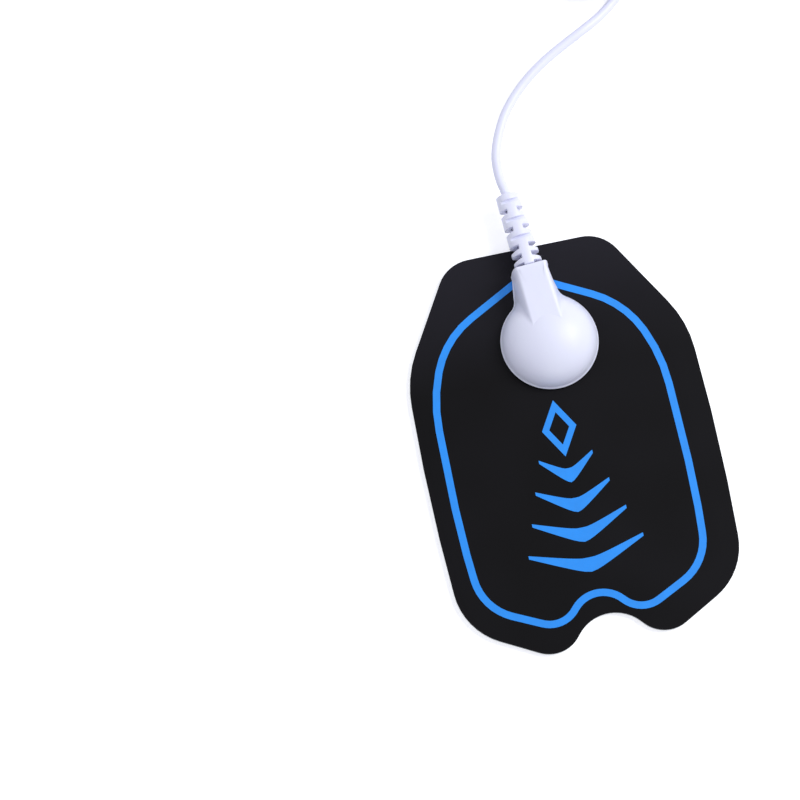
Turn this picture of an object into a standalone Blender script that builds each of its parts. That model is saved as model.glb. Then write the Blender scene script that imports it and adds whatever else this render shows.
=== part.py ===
"""TENS electrode pad with its snap-on lead.

The pad is a die-cut stack: a printed cover film on a conductive film on a sticky gel. A snap stud, held
by an eyelet under the films, stands near one edge. The lead's moulded connector clicks onto the stud with
a ring spring, so it swivels on the stud and pulls off it. The spare lead is wound into a tied coil.

Metres, +Z up. The origin is on the stud's axis in the gel's skin face, and +Y runs along the pad towards
the lead.
"""

import math

import bmesh
import bpy
from mathutils import Matrix, Vector

MM = 0.001

# Layers of the pad, from the skin face up
GEL_THICKNESS = 1.0 * MM
CARBON_THICKNESS = 0.12 * MM
FILM_THICKNESS = 0.2 * MM
PRINT_THICKNESS = 0.06 * MM

# The die-cut outline: its size, and the right half's corners from the lead's edge to the notch. Each is a
# share of the half width out from the outline's own axis, which lies a little to the left of the stud, and
# a share of the length up from the stud. Each has its rounding radius.
PAD_WIDTH = 60.0 * MM
PAD_LENGTH = 84.0 * MM
OUTLINE_SHIFT = -0.8 * MM
PAD_SHARES = (
    (0.547, 0.245),
    (0.987, -0.019),
    (1.01, -0.336),
    (0.973, -0.655),
    (0.343, -0.776),
    (0.0, -0.631),
)
PAD_RADII = (7.8 * MM, 22.7 * MM, 220.0 * MM, 13.5 * MM, 6.8 * MM, 8.3 * MM)
PAD_PLACES = tuple((across * PAD_WIDTH / 2, along * PAD_LENGTH) for across, along in PAD_SHARES)

# The printed contour: how far each of its corners lies from the pad's own corner, and its radius. The
# print is a little out of register with the die cut.
PRINT_SHIFT = -1.2 * MM
STRIPE_WIDTH = 1.5 * MM
STRIPE_PEAK = (0.0, 14.85 * MM, 5.0 * MM)
STRIPE_STEPS = (
    (2.5 * MM, -15.65 * MM, 19.0 * MM),
    (-5.6 * MM, -5.9 * MM, 33.0 * MM),
    (-5.9 * MM, -6.9 * MM, 120.0 * MM),
    (-5.9 * MM, 3.5 * MM, 10.7 * MM),
    (-2.3 * MM, 6.3 * MM, 5.9 * MM),
    (0.0, 3.4 * MM, 6.5 * MM),
)

# The printed figure under the stud: a lozenge frame with four chevrons that widen towards the notch. The
# last chevron stands over the notch, and the lozenge over the first one.
LOZENGE_OVER_CHEVRON = 10.0 * MM
LOZENGE_HALF = (3.6 * MM, 6.0 * MM)
LOZENGE_LINE = 0.42
CHEVRON_COUNT = 4
CHEVRON_OVER_NOTCH = 5.904 * MM
CHEVRON_PITCH = 6.3 * MM
CHEVRON_HALF_WIDTH = 5.6 * MM
CHEVRON_WIDENS = 2.1 * MM
CHEVRON_RISE = 4.6 * MM
CHEVRON_THICKNESS = 3.0 * MM
CHEVRON_TIP = 0.7 * MM
CHEVRON_BLUNT = 0.16

# Snap stud and the eyelet that holds it
STUD_FLANGE_RADIUS = 4.0 * MM
STUD_FLANGE_THICKNESS = 0.35 * MM
STUD_NECK_RADIUS = 1.5 * MM
STUD_NECK_TOP = 1.5 * MM
STUD_HEAD_RADIUS = 1.95 * MM
STUD_HEIGHT = 3.05 * MM
STUD_WALL = 0.4 * MM
STUD_HEAD_SLOPE = 0.4 * MM
STUD_CROWN_HEIGHT = 0.6 * MM
STUD_CROWN_STEP = 0.15 * MM
STUD_CROWN_EDGE = 0.2 * MM
STUD_CROWN_BEVEL = 0.55 * MM
EYELET_RADIUS = 3.5 * MM
EYELET_THICKNESS = 0.3 * MM
FIT_GAP = 0.3 * MM

# Connector: its underside sits this far over the stud's flange, and it is turned this far on the stud
SEAT_GAP = 0.15 * MM
LEAD_TURN = math.radians(3.5)
DOME_RADIUS = 9.9 * MM
DOME_HEIGHT = 7.4 * MM
RIM_PROUD = 0.25 * MM
RIM_HEIGHT = 0.45 * MM
CAP_WALL = 0.7 * MM
NECK_MOUTH_Y = 15.25 * MM
NECK_BELOW_DOME = 0.6 * MM
NECK_TOP_HALF = 2.8 * MM
NECK_ROOT_HALF = 4.45 * MM
NECK_MOUTH_HALF = 3.7 * MM
NECK_FILLET = 3.2 * MM
TONGUE_FILLET = 1.5 * MM
MOUTH_LIP = 0.15 * MM
LIP_LENGTH = 0.45 * MM
END_WALL = 1.0 * MM
BASE_THICKNESS = 0.8 * MM
FILLET_STEPS = 5
DOME_STEPS = 16

# Ring spring and the socket that holds it
SPRING_WIRE = 0.5 * MM
SPRING_RADIUS = 2.03 * MM
SPRING_OVER_FLANGE = 0.85 * MM
SPRING_GAP_ANGLE = math.radians(50)
SOCKET_RADIUS = 2.95 * MM
SOCKET_FLANGE_RADIUS = 4.6 * MM
SOCKET_SHEET = 0.25 * MM
SOCKET_LIP_GAP = 0.2 * MM

# Strain relief: distances run along its axis from the connector's mouth
BOOT_BEND = math.radians(1.1)
BOOT_LENGTH = 16.15 * MM
BOOT_ROOT_RADIUS = 2.95 * MM
BOOT_END_RADIUS = 2.4 * MM
BOOT_GROOVE_DEPTH = 0.5 * MM
BOOT_COLLAR_LENGTH = 1.2 * MM
COLLAR_OVER_BASE = 0.15 * MM
COLLAR_UNDER_ROOF = 0.35 * MM
BOOT_EDGE = 0.3 * MM
SLOT_PITCH = 2.0 * MM
FIRST_SLOT_FROM_END = 1.75 * MM
TOP_SLOTS = (0, 2, 4)
SIDE_SLOTS = (1, 3, 5, 6, 7)
SIDE_SLOT_WIDTH = 0.9 * MM
SIDE_SLOT_FLOOR = 1.0 * MM
TOP_SLOT_WIDTH = 0.65 * MM
TOP_SLOT_FLOOR = 1.6 * MM

# Cable, and the crimp that joins its strands to the socket
CABLE_RADIUS = 1.0 * MM
CABLE_START_Y = 9.3 * MM
STRANDS_RADIUS = 0.45 * MM
CRIMP_WALL = 0.3 * MM
CRIMP_Y = (4.9 * MM, 7.4 * MM)
CRIMP_TAB_WIDTH = 1.6 * MM

# The cable's free run: points chosen by hand between the strain relief and the coil
CABLE_ROUTE = (
    (-2.75 * MM, 34.4 * MM, 5.1 * MM),
    (-2.85 * MM, 37.5 * MM, 4.9 * MM),
    (-2.4 * MM, 40.8 * MM, 4.65 * MM),
    (-0.8 * MM, 45.1 * MM, 4.15 * MM),
    (1.6 * MM, 49.4 * MM, 3.6 * MM),
    (4.9 * MM, 53.3 * MM, 3.2 * MM),
    (8.5 * MM, 56.5 * MM, 2.95 * MM),
    (12.4 * MM, 59.2 * MM, 2.8 * MM),
    (16.7 * MM, 61.6 * MM, 2.75 * MM),
    (21.2 * MM, 63.9 * MM, 2.65 * MM),
    (25.8 * MM, 66.6 * MM, 1.9 * MM),
)

# Coil: anticlockwise from above, five turns wide and three layers high
COIL_CENTRE = (27.0 * MM, 87.0 * MM)
COIL_INNER_TURN = 7.1 * MM
COIL_TURNS_WIDE = 5
COIL_LAYERS = 3
TURN_PITCH = 2.05 * MM
COIL_ENTRY_ANGLE = math.radians(-52)
COIL_LEAVE_ANGLE = math.radians(99)
TIE_THICKNESS = 0.4 * MM
TIE_WIDTH = 4.0 * MM

# Tail and plug
TAIL_LENGTH = 27.0 * MM
TAIL_LEVEL = 13.0 * MM
TAIL_DIP = 0.3 * MM
PLUG_RADIUS = 3.0 * MM
PLUG_LENGTH = 19.0 * MM
PLUG_REAR_RADIUS = 1.9 * MM
PLUG_REAR_LENGTH = 5.0 * MM
PLUG_WAIST = 0.35 * MM
PLUG_GRIPS = 4
GRIPS_FROM_REAR = 1.5 * MM
GRIPS_FROM_FRONT = 2.5 * MM
PIN_RADIUS = 1.0 * MM
PIN_LENGTH = 12.0 * MM
PIN_COLLAR_RADIUS = 1.8 * MM
PIN_COLLAR_LENGTH = 1.0 * MM

ARC_STEP = math.radians(7.5)
ROUND_STEPS = 48
SMALL_STEPS = 32

# The figure's places, from the notch up
NOTCH_Y = PAD_PLACES[-1][1]
CHEVRON_FIRST_Y = NOTCH_Y + CHEVRON_OVER_NOTCH + (CHEVRON_COUNT - 1) * CHEVRON_PITCH
LOZENGE_Y = CHEVRON_FIRST_Y + LOZENGE_OVER_CHEVRON

# The neck, and the strain relief's collar, which fills the room between the base and the neck's roof
NECK_HEIGHT = DOME_HEIGHT - NECK_BELOW_DOME
NECK_ROOM = NECK_HEIGHT - CAP_WALL - BASE_THICKNESS
BOOT_COLLAR_RADIUS = (NECK_ROOM - COLLAR_OVER_BASE - COLLAR_UNDER_ROOF) / 2
BOOT_AXIS_HEIGHT = BASE_THICKNESS + COLLAR_OVER_BASE + BOOT_COLLAR_RADIUS
BOOT_GROOVE_RADIUS = BOOT_COLLAR_RADIUS - BOOT_GROOVE_DEPTH

# Heights that follow from the layers
CARBON_TOP = GEL_THICKNESS + CARBON_THICKNESS
FILM_TOP = CARBON_TOP + FILM_THICKNESS
STUD_FLANGE_TOP = FILM_TOP + STUD_FLANGE_THICKNESS
CONNECTOR_Z = STUD_FLANGE_TOP + SEAT_GAP
BASE_TOP = CONNECTOR_Z + BASE_THICKNESS
BOOT_Z = CONNECTOR_Z + BOOT_AXIS_HEIGHT
EYELET_POST_RADIUS = STUD_NECK_RADIUS - STUD_WALL - FIT_GAP
COIL_Z = TIE_THICKNESS
COIL_OUTER_TURN = COIL_INNER_TURN + (COIL_TURNS_WIDE - 1) * TURN_PITCH
COIL_LEAVE_RADIUS = COIL_OUTER_TURN
COIL_INNER = COIL_INNER_TURN - TURN_PITCH / 2
COIL_OUTER = COIL_OUTER_TURN + TURN_PITCH / 2
COIL_TOP = COIL_Z + COIL_LAYERS * TURN_PITCH


# Tools


def clear_scene():
    """Remove every object of the open scene."""
    for old in list(bpy.data.objects):
        bpy.data.objects.remove(old, do_unlink=True)


def finish(name, color, roughness, metallic=0.0):
    """A Principled material with one colour."""
    made = bpy.data.materials.new(name)
    made.use_nodes = True
    shader = made.node_tree.nodes["Principled BSDF"]
    shader.inputs["Base Color"].default_value = (*color, 1.0)
    shader.inputs["Roughness"].default_value = roughness
    shader.inputs["Metallic"].default_value = metallic
    return made


def add(name, form, look=None, parent=None, smooth=True):
    """Put a bmesh into the scene as a named object, optionally under a parent."""
    bmesh.ops.remove_doubles(form, verts=form.verts, dist=1e-7)
    bmesh.ops.recalc_face_normals(form, faces=form.faces)
    mesh = bpy.data.meshes.new(name)
    form.to_mesh(mesh)
    form.free()
    if smooth:
        mesh.shade_smooth()
        mesh.set_sharp_from_angle(angle=math.radians(32))
    made = bpy.data.objects.new(name, mesh)
    bpy.context.scene.collection.objects.link(made)
    if look:
        mesh.materials.append(look)
    made.parent = parent
    return made


def boolean(target, cutter, operation="DIFFERENCE"):
    """Cut a helper from a piece, or join it on, and keep the helper out of the part."""
    modifier = target.modifiers.new(cutter.name, "BOOLEAN")
    modifier.object = cutter
    modifier.operation = operation
    cutter.hide_render = True
    cutter.display_type = "WIRE"


def loft(rings, closed=False):
    """A solid through rings of equally many points. The ends are capped, or joined if it is closed."""
    form = bmesh.new()
    rows = [[form.verts.new(point) for point in ring] for ring in rings]
    if closed:
        rows.append(rows[0])
    for lower, upper in zip(rows, rows[1:]):
        for i in range(len(lower)):
            j = (i + 1) % len(lower)
            form.faces.new((lower[i], lower[j], upper[j], upper[i]))
    if not closed:
        form.faces.new(rows[0][::-1])
        form.faces.new(rows[-1])
    return form


def flat(outline, z):
    """A plan outline at a height."""
    return [(x, y, z) for x, y in outline]


def plate(outline, low, high):
    """A flat-sided solid of a plan outline between two heights."""
    return loft([flat(outline, low), flat(outline, high)])


def box(low, high):
    """A rectangular solid between two corners."""
    (x0, y0, z0), (x1, y1, z1) = low, high
    return plate([(x0, y0), (x1, y0), (x1, y1), (x0, y1)], z0, z1)


def circle(radius, steps=SMALL_STEPS, centre=(0.0, 0.0)):
    """Points round a circle, anticlockwise."""
    angles = [2 * math.pi * i / steps for i in range(steps)]
    return [(centre[0] + radius * math.cos(a), centre[1] + radius * math.sin(a)) for a in angles]


def turned(profile, steps=ROUND_STEPS):
    """The solid that a closed profile of (radius, height) points sweeps round the Z axis."""
    form = bmesh.new()
    verts = [form.verts.new((radius, 0.0, height)) for radius, height in profile]
    pairs = zip(verts, verts[1:] + verts[:1])
    edges = [form.edges.new(pair) for pair in pairs if pair[0].co.x > 0 or pair[1].co.x > 0]
    bmesh.ops.spin(
        form, geom=verts + edges, axis=(0, 0, 1), cent=(0, 0, 0), angle=2 * math.pi, steps=steps, use_merge=True
    )
    return form


def joined(forms):
    """Several separate solids as one mesh, for a cutter."""
    whole = bmesh.new()
    for form in forms:
        mesh = bpy.data.meshes.new("joined")
        form.to_mesh(mesh)
        form.free()
        whole.from_mesh(mesh)
        bpy.data.meshes.remove(mesh)
    return whole


def corner_arms(corners):
    """Each corner's point, the directions to its neighbours and half the angle between them."""
    points = [Vector(corner[:2]) for corner in corners]
    arms = []
    for before, point, after in zip(points[-1:] + points[:-1], points, points[1:] + points[:1]):
        back, ahead = (before - point).normalized(), (after - point).normalized()
        arms.append((point, back, ahead, back.angle(ahead) / 2))
    return arms


def fitted_radii(corners):
    """The corners' radii, drawn in where two arcs would take more than the edge between them."""
    arms = corner_arms(corners)
    taken = [corner[2] / math.tan(half) for corner, (_, _, _, half) in zip(corners, arms)]
    room = []
    for i, (point, _, _, _) in enumerate(arms):
        j = (i + 1) % len(arms)
        room.append(min(1.0, (arms[j][0] - point).length / (taken[i] + taken[j])))
    return [corner[2] * min(room[i - 1], room[i]) for i, corner in enumerate(corners)]


def rounded_loop(corners):
    """Points round a closed outline whose corners, given as (x, y, radius), are arcs."""
    loop = []
    for (point, back, ahead, half), radius in zip(corner_arms(corners), fitted_radii(corners)):
        centre = point + (back + ahead).normalized() * radius / math.sin(half)
        start = point + back * radius / math.tan(half) - centre
        end = point + ahead * radius / math.tan(half) - centre
        first = math.atan2(start.y, start.x)
        sweep = (math.atan2(end.y, end.x) - first + math.pi) % (2 * math.pi) - math.pi
        count = max(1, round(abs(sweep) / ARC_STEP))
        for i in range(count + 1):
            angle = first + sweep * i / count
            loop.append((centre.x + radius * math.cos(angle), centre.y + radius * math.sin(angle)))
    return loop


def both_sides(corners, axis_x):
    """The right half's corners and their mirror images, placed about an axis at axis_x."""
    left = [(-x, y, radius) for x, y, radius in reversed(corners) if x > 0]
    return [(axis_x + x, y, radius) for x, y, radius in list(corners) + left]


def offset_loop(loop, distance):
    """The closed loop moved sideways by a distance, outwards if it runs anticlockwise."""
    moved = []
    for before, here, after in zip(loop[-1:] + loop[:-1], loop, loop[1:] + loop[:1]):
        along = (Vector(after) - Vector(before)).normalized()
        moved.append((here[0] + along.y * distance, here[1] - along.x * distance))
    return moved


def smooth_path(points, spacing):
    """Points at about the given spacing on a Catmull-Rom curve through the points."""
    points = [Vector(p) for p in points]
    ends = [2 * points[0] - points[1]] + points + [2 * points[-1] - points[-2]]
    path = [points[0]]
    for a, b, c, d in zip(ends, ends[1:], ends[2:], ends[3:]):
        steps = max(1, round((c - b).length / spacing))
        for i in range(1, steps + 1):
            t = i / steps
            cubic = (-a + 3 * b - 3 * c + d) * t**3 + (2 * a - 5 * b + 4 * c - d) * t**2
            path.append((cubic + (c - a) * t + 2 * b) / 2)
    return path


def tube(name, points, radius, look):
    """A round wire along points, as a curve with filled ends."""
    data = bpy.data.curves.new(name, "CURVE")
    data.dimensions = "3D"
    data.bevel_depth = radius
    data.bevel_resolution = 2
    data.use_fill_caps = True
    spline = data.splines.new("POLY")
    spline.points.add(len(points) - 1)
    for control, point in zip(spline.points, points):
        control.co = (*point, 1.0)
    data.materials.append(look)
    made = bpy.data.objects.new(name, data)
    bpy.context.scene.collection.objects.link(made)
    return made


# The pad


def pad_outline():
    """The die-cut outline that every layer shares."""
    corners = [(x, y, radius) for (x, y), radius in zip(PAD_PLACES, PAD_RADII)]
    return rounded_loop(both_sides(corners, OUTLINE_SHIFT))


def make_layers(looks):
    """Gel, conductive film and cover film, with the seat and the holes for the snap."""
    outline = pad_outline()
    gel = add("gel_pad", plate(outline, 0.0, GEL_THICKNESS), looks["gel"], smooth=False)
    seat = circle(EYELET_RADIUS + FIT_GAP)
    pocket = add("eyelet_seat", plate(seat, GEL_THICKNESS - EYELET_THICKNESS, GEL_THICKNESS + FIT_GAP))
    boolean(gel, pocket)
    hole = circle(EYELET_POST_RADIUS + FIT_GAP)
    carbon = add("conductive_film", plate(outline, GEL_THICKNESS, CARBON_TOP), looks["carbon"], smooth=False)
    film = add("cover_film", plate(outline, CARBON_TOP, FILM_TOP), looks["film"], smooth=False)
    for layer in (carbon, film):
        boolean(layer, add(layer.name + "_hole", plate(hole, 0.0, STUD_FLANGE_TOP)))


def make_stripe(looks):
    """The printed contour line, a flat band that follows the outline."""
    corners = [STRIPE_PEAK]
    for (x, y), (dx, dy, radius) in zip(PAD_PLACES, STRIPE_STEPS):
        corners.append((x + dx, y + dy, radius))
    centre = rounded_loop(both_sides(corners, OUTLINE_SHIFT + PRINT_SHIFT))
    outer, inner = offset_loop(centre, STRIPE_WIDTH / 2), offset_loop(centre, -STRIPE_WIDTH / 2)
    low, high = FILM_TOP, FILM_TOP + PRINT_THICKNESS
    band = loft([flat(outer, low), flat(outer, high), flat(inner, high), flat(inner, low)], closed=True)
    add("contour_stripe", band, looks["print"], smooth=False)


def chevron_outline(half_width, y):
    """A chevron that points down the pad, thick in the middle and tapering to its raised tips."""
    steps = 9
    shares = [i / steps for i in range(-steps, steps + 1)]

    def arm(share):
        return y + CHEVRON_RISE * (math.hypot(share, CHEVRON_BLUNT) - CHEVRON_BLUNT)

    def thickness(share):
        return CHEVRON_TIP + (CHEVRON_THICKNESS - CHEVRON_TIP) * (1 - abs(share))

    lower = [(share * half_width, arm(share) - thickness(share) / 2) for share in shares]
    upper = [(share * half_width, arm(share) + thickness(share) / 2) for share in reversed(shares)]
    return lower + upper


def lozenge_outline(axis, share):
    """The lozenge, or a smaller one inside it."""
    across, along = LOZENGE_HALF[0] * share, LOZENGE_HALF[1] * share
    corners = ((0.0, -along), (across, 0.0), (0.0, along), (-across, 0.0))
    return [(axis + x, LOZENGE_Y + y) for x, y in corners]


def make_figure(looks):
    """The printed lozenge and chevrons below the stud."""
    axis = OUTLINE_SHIFT + PRINT_SHIFT
    low, high = FILM_TOP, FILM_TOP + PRINT_THICKNESS
    outer, inner = lozenge_outline(axis, 1.0), lozenge_outline(axis, 1.0 - LOZENGE_LINE)
    frame = loft([flat(outer, low), flat(outer, high), flat(inner, high), flat(inner, low)], closed=True)
    add("print_lozenge", frame, looks["print"], smooth=False)
    for i in range(CHEVRON_COUNT):
        half_width = CHEVRON_HALF_WIDTH + i * CHEVRON_WIDENS
        shape = chevron_outline(half_width, CHEVRON_FIRST_Y - i * CHEVRON_PITCH)
        shape = [(axis + x, y) for x, y in shape]
        add(f"print_chevron_{i + 1}", plate(shape, low, high), looks["print"], smooth=False)


def make_snap(looks):
    """The drawn stud on the film, and the eyelet whose post holds it from below."""
    top = FILM_TOP + STUD_HEIGHT
    head_low = FILM_TOP + STUD_NECK_TOP
    bore = STUD_NECK_RADIUS - STUD_WALL
    edge = STUD_FLANGE_THICKNESS / 3
    stud = [
        (bore, FILM_TOP),
        (STUD_FLANGE_RADIUS, FILM_TOP),
        (STUD_FLANGE_RADIUS, STUD_FLANGE_TOP - edge),
        (STUD_FLANGE_RADIUS - edge, STUD_FLANGE_TOP),
        (STUD_NECK_RADIUS, STUD_FLANGE_TOP),
        (STUD_NECK_RADIUS, head_low),
        (STUD_HEAD_RADIUS, head_low + STUD_HEAD_SLOPE),
        (STUD_HEAD_RADIUS, top - STUD_CROWN_HEIGHT),
        (STUD_HEAD_RADIUS - STUD_CROWN_STEP, top - STUD_CROWN_EDGE),
        (STUD_HEAD_RADIUS - STUD_CROWN_BEVEL, top),
        (0.0, top),
        (0.0, top - STUD_WALL),
        (bore, top - STUD_WALL),
    ]
    add("snap_stud", turned(stud), looks["steel"])
    post_top = top - STUD_WALL - FIT_GAP
    low = GEL_THICKNESS - EYELET_THICKNESS
    eyelet = [
        (0.0, low),
        (EYELET_RADIUS, low),
        (EYELET_RADIUS, GEL_THICKNESS),
        (EYELET_POST_RADIUS, GEL_THICKNESS),
        (EYELET_POST_RADIUS, post_top),
        (0.0, post_top),
    ]
    add("snap_eyelet", turned(eyelet, SMALL_STEPS), looks["steel"])


# The connector


def cap_outline(height, inset=0.0, mouth_y=NECK_MOUTH_Y, lip=0.0):
    """The plan of dome and neck at a height over the connector's foot, drawn in by the inset.

    It runs from the middle of the mouth down the right side to the dome's far point and back.
    """
    right, _ = cap_right_side(height, inset, mouth_y, lip)
    return right + [(-x, y) for x, y in reversed(right[1:-1])]


def cap_right_side(height, inset, mouth_y, lip):
    """The right half of the plan, and the angle at which the neck's fillet meets the dome."""
    share = min(1.0, height / (NECK_HEIGHT - inset))
    shoulder = math.sqrt(1 - share**2)
    radius = dome_radius(height, inset)
    root = NECK_TOP_HALF + (NECK_ROOT_HALF - NECK_TOP_HALF) * shoulder - inset
    mouth = NECK_TOP_HALF + (NECK_MOUTH_HALF - NECK_TOP_HALF) * shoulder - inset
    fillet = NECK_FILLET + (TONGUE_FILLET - NECK_FILLET) * share + inset
    centre_x = root + fillet
    centre_y = math.sqrt((radius + fillet) ** 2 - centre_x**2)
    meet = math.atan2(centre_y, centre_x)
    points = [(0.0, mouth_y), (mouth + lip, mouth_y), (mouth + lip, mouth_y - LIP_LENGTH)]
    points.append((mouth, mouth_y - 2 * LIP_LENGTH))
    for i in range(FILLET_STEPS + 1):
        angle = math.pi + meet * i / FILLET_STEPS
        points.append((centre_x + fillet * math.cos(angle), centre_y + fillet * math.sin(angle)))
    points += far_arc(radius, meet)
    return points, meet


def far_arc(radius, meet):
    """The right half of the dome's circle, from where the fillet meets it to its far point."""
    angles = [meet - (meet + math.pi / 2) * i / DOME_STEPS for i in range(1, DOME_STEPS)]
    return [(radius * math.cos(a), radius * math.sin(a)) for a in angles] + [(0.0, -radius)]


def dome_radius(height, inset):
    """The dome's radius at a height over the connector's foot."""
    share = min(1.0, height / (DOME_HEIGHT - inset))
    return (DOME_RADIUS - inset) * math.sqrt(1 - share**2)


def dome_outline(height, inset, meet):
    """The dome's circle over the neck, with as many points as the plan below it has."""
    radius = dome_radius(height, inset)
    steps = FILLET_STEPS + 4
    angles = [math.pi / 2 - (math.pi / 2 - meet) * i / steps for i in range(1, steps + 1)]
    near_arc = [(0.0, radius)] + [(radius * math.cos(a), radius * math.sin(a)) for a in angles]
    right = near_arc + far_arc(radius, meet)
    return right + [(-x, y) for x, y in reversed(right[1:-1])]


def cap_rings(inset, mouth_y, lip):
    """Plans of one side of the shell from its foot to the dome's top, as rings of points."""
    neck_top, dome_top = NECK_HEIGHT - inset, DOME_HEIGHT - inset
    levels = [neck_top * math.sin(math.pi / 2 * i / 9) for i in range(10)]
    levels[-1] = neck_top
    rings = [flat(cap_outline(h, inset, mouth_y, lip), CONNECTOR_Z + h) for h in levels]
    _, meet = cap_right_side(neck_top, inset, mouth_y, lip)
    first = math.asin(neck_top / dome_top)
    for i in range(7):
        angle = first + (math.pi / 2 - first) * i / 6
        height = neck_top if i == 0 else dome_top * math.sin(angle)
        rings.append(flat(dome_outline(height, inset, meet), CONNECTOR_Z + height))
    return rings


def make_cap(looks, pivot):
    """The connector's moulded shell: a dome that runs into a square-shouldered neck, open below."""
    outer = cap_rings(0.0, NECK_MOUTH_Y, MOUTH_LIP)
    inner = cap_rings(CAP_WALL, NECK_MOUTH_Y - END_WALL, 0.0)
    rim_plan = cap_outline(0.0, -RIM_PROUD, NECK_MOUTH_Y, MOUTH_LIP)
    rim_top = flat(cap_outline(RIM_HEIGHT, -RIM_PROUD / 2, NECK_MOUTH_Y, MOUTH_LIP), CONNECTOR_Z + RIM_HEIGHT)
    rim = [flat(rim_plan, CONNECTOR_Z), flat(rim_plan, CONNECTOR_Z + RIM_HEIGHT * 0.6), rim_top]
    above = [ring for ring in outer if ring[0][2] > CONNECTOR_Z + RIM_HEIGHT]
    shell = loft(above[::-1] + rim[::-1] + inner)
    cap = add("connector_cap", shell, looks["plastic"], pivot)
    slot = mouth_slot(BOOT_GROOVE_RADIUS + FIT_GAP, -FIT_GAP)
    ends = [NECK_MOUTH_Y - END_WALL - FIT_GAP, NECK_MOUTH_Y + FIT_GAP]
    cutter = loft([[(x, y, z) for x, z in slot] for y in ends])
    boolean(cap, add("mouth_slot", cutter, parent=pivot))


def mouth_slot(radius, foot):
    """The neck's mouth seen along the lead: round over the strain relief, and open down to the foot."""
    steps = 12
    over = [math.pi * i / steps for i in range(steps + 1)]
    arch = [(radius * math.cos(a), BOOT_Z + radius * math.sin(a)) for a in over]
    return arch + [(-radius, CONNECTOR_Z + foot), (radius, CONNECTOR_Z + foot)]


def saddle_outline():
    """The upright that closes the mouth's slot below the strain relief."""
    half = BOOT_GROOVE_RADIUS
    radius = BOOT_GROOVE_RADIUS + FIT_GAP
    steps = 8
    reach = math.asin(half / radius)
    hollow = [-reach + 2 * reach * i / steps for i in range(steps + 1)]
    arc = [(radius * math.sin(a), BOOT_Z - radius * math.cos(a)) for a in hollow]
    return [(half, CONNECTOR_Z), *reversed(arc), (-half, CONNECTOR_Z)]


def make_base(looks, pivot):
    """The plate that closes the connector, with the socket's hole and the strain relief's saddle."""
    inset = CAP_WALL + FIT_GAP
    end_y = NECK_MOUTH_Y - END_WALL - FIT_GAP
    half = BOOT_GROOVE_RADIUS
    tab = [(half, NECK_MOUTH_Y), (half, end_y)]
    outline = tab + cap_outline(0.0, inset, end_y)[1:] + [(-x, y) for x, y in reversed(tab)]
    base = add("connector_base", plate(outline, CONNECTOR_Z, BASE_TOP), looks["plastic"], pivot, smooth=False)
    hole = plate(circle(SOCKET_RADIUS + FIT_GAP, ROUND_STEPS), 0.0, BASE_TOP + FIT_GAP)
    boolean(base, add("socket_hole", hole, parent=pivot))
    ends = [end_y + FIT_GAP / 2, NECK_MOUTH_Y]
    saddle = loft([[(x, y, z) for x, z in saddle_outline()] for y in ends])
    boolean(base, add("saddle", saddle, parent=pivot), "UNION")


def make_socket(looks, pivot):
    """The drawn socket over the stud's head, seated by its flange on the base."""
    spring_z = STUD_FLANGE_TOP + SPRING_OVER_FLANGE
    groove_half = SPRING_WIRE / 2 + FIT_GAP
    groove_radius = SPRING_RADIUS + groove_half
    bore = STUD_HEAD_RADIUS + SOCKET_LIP_GAP
    roof = FILM_TOP + STUD_HEIGHT + FIT_GAP
    flange_top = BASE_TOP + SOCKET_SHEET
    socket = [
        (bore, CONNECTOR_Z),
        (SOCKET_RADIUS, CONNECTOR_Z),
        (SOCKET_RADIUS, BASE_TOP),
        (SOCKET_FLANGE_RADIUS, BASE_TOP),
        (SOCKET_FLANGE_RADIUS, flange_top),
        (SOCKET_RADIUS, flange_top),
        (SOCKET_RADIUS, roof),
        (SOCKET_RADIUS - SOCKET_SHEET, roof + SOCKET_SHEET),
        (0.0, roof + SOCKET_SHEET),
        (0.0, roof),
        (bore, roof),
        (bore, spring_z + groove_half),
        (groove_radius, spring_z + groove_half),
        (groove_radius, spring_z - groove_half),
        (bore, spring_z - groove_half),
    ]
    add("snap_socket", turned(socket), looks["brass"], pivot)
    half_gap = SPRING_GAP_ANGLE / 2
    steps = 24
    angles = [half_gap + (2 * math.pi - 2 * half_gap) * i / steps for i in range(steps + 1)]
    ring = [(SPRING_RADIUS * math.cos(a), SPRING_RADIUS * math.sin(a), spring_z) for a in angles]
    tube("ring_spring", ring, SPRING_WIRE / 2, looks["steel"])


def make_terminal(looks, pivot):
    """The crimp on the socket's flange, and the bared strands that it grips."""
    start, end = CRIMP_Y
    foot_z = BASE_TOP + SOCKET_SHEET
    inner = STRANDS_RADIUS + FIT_GAP
    outer = inner + CRIMP_WALL
    sheet = SOCKET_SHEET
    heel = SOCKET_RADIUS + FIT_GAP
    top = BOOT_Z - inner - CRIMP_WALL / 2
    strip = [(heel, foot_z), (start + sheet, foot_z), (start + sheet, top), (start, top)]
    strip += [(start, foot_z + sheet), (heel, foot_z + sheet)]
    half = CRIMP_TAB_WIDTH / 2
    tab = loft([[(x, y, z) for y, z in strip] for x in (-half, half)])
    crimp = add("crimp_terminal", tab, looks["brass"], pivot, smooth=False)
    section = ((outer, start), (outer, end), (inner, end), (inner, start))
    barrel = loft([flat_circle(radius, y) for radius, y in section], closed=True)
    boolean(crimp, add("crimp_barrel", barrel, parent=pivot), "UNION")
    strands = tube(
        "conductor",
        [(0.0, start, BOOT_Z), (0.0, CABLE_START_Y - FIT_GAP, BOOT_Z)],
        STRANDS_RADIUS,
        looks["copper"],
    )
    strands.parent = pivot


def flat_circle(radius, y):
    """A circle that faces along the lead, about the strain relief's axis."""
    return [(x, y, BOOT_Z + z) for x, z in circle(radius, 20)]


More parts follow.
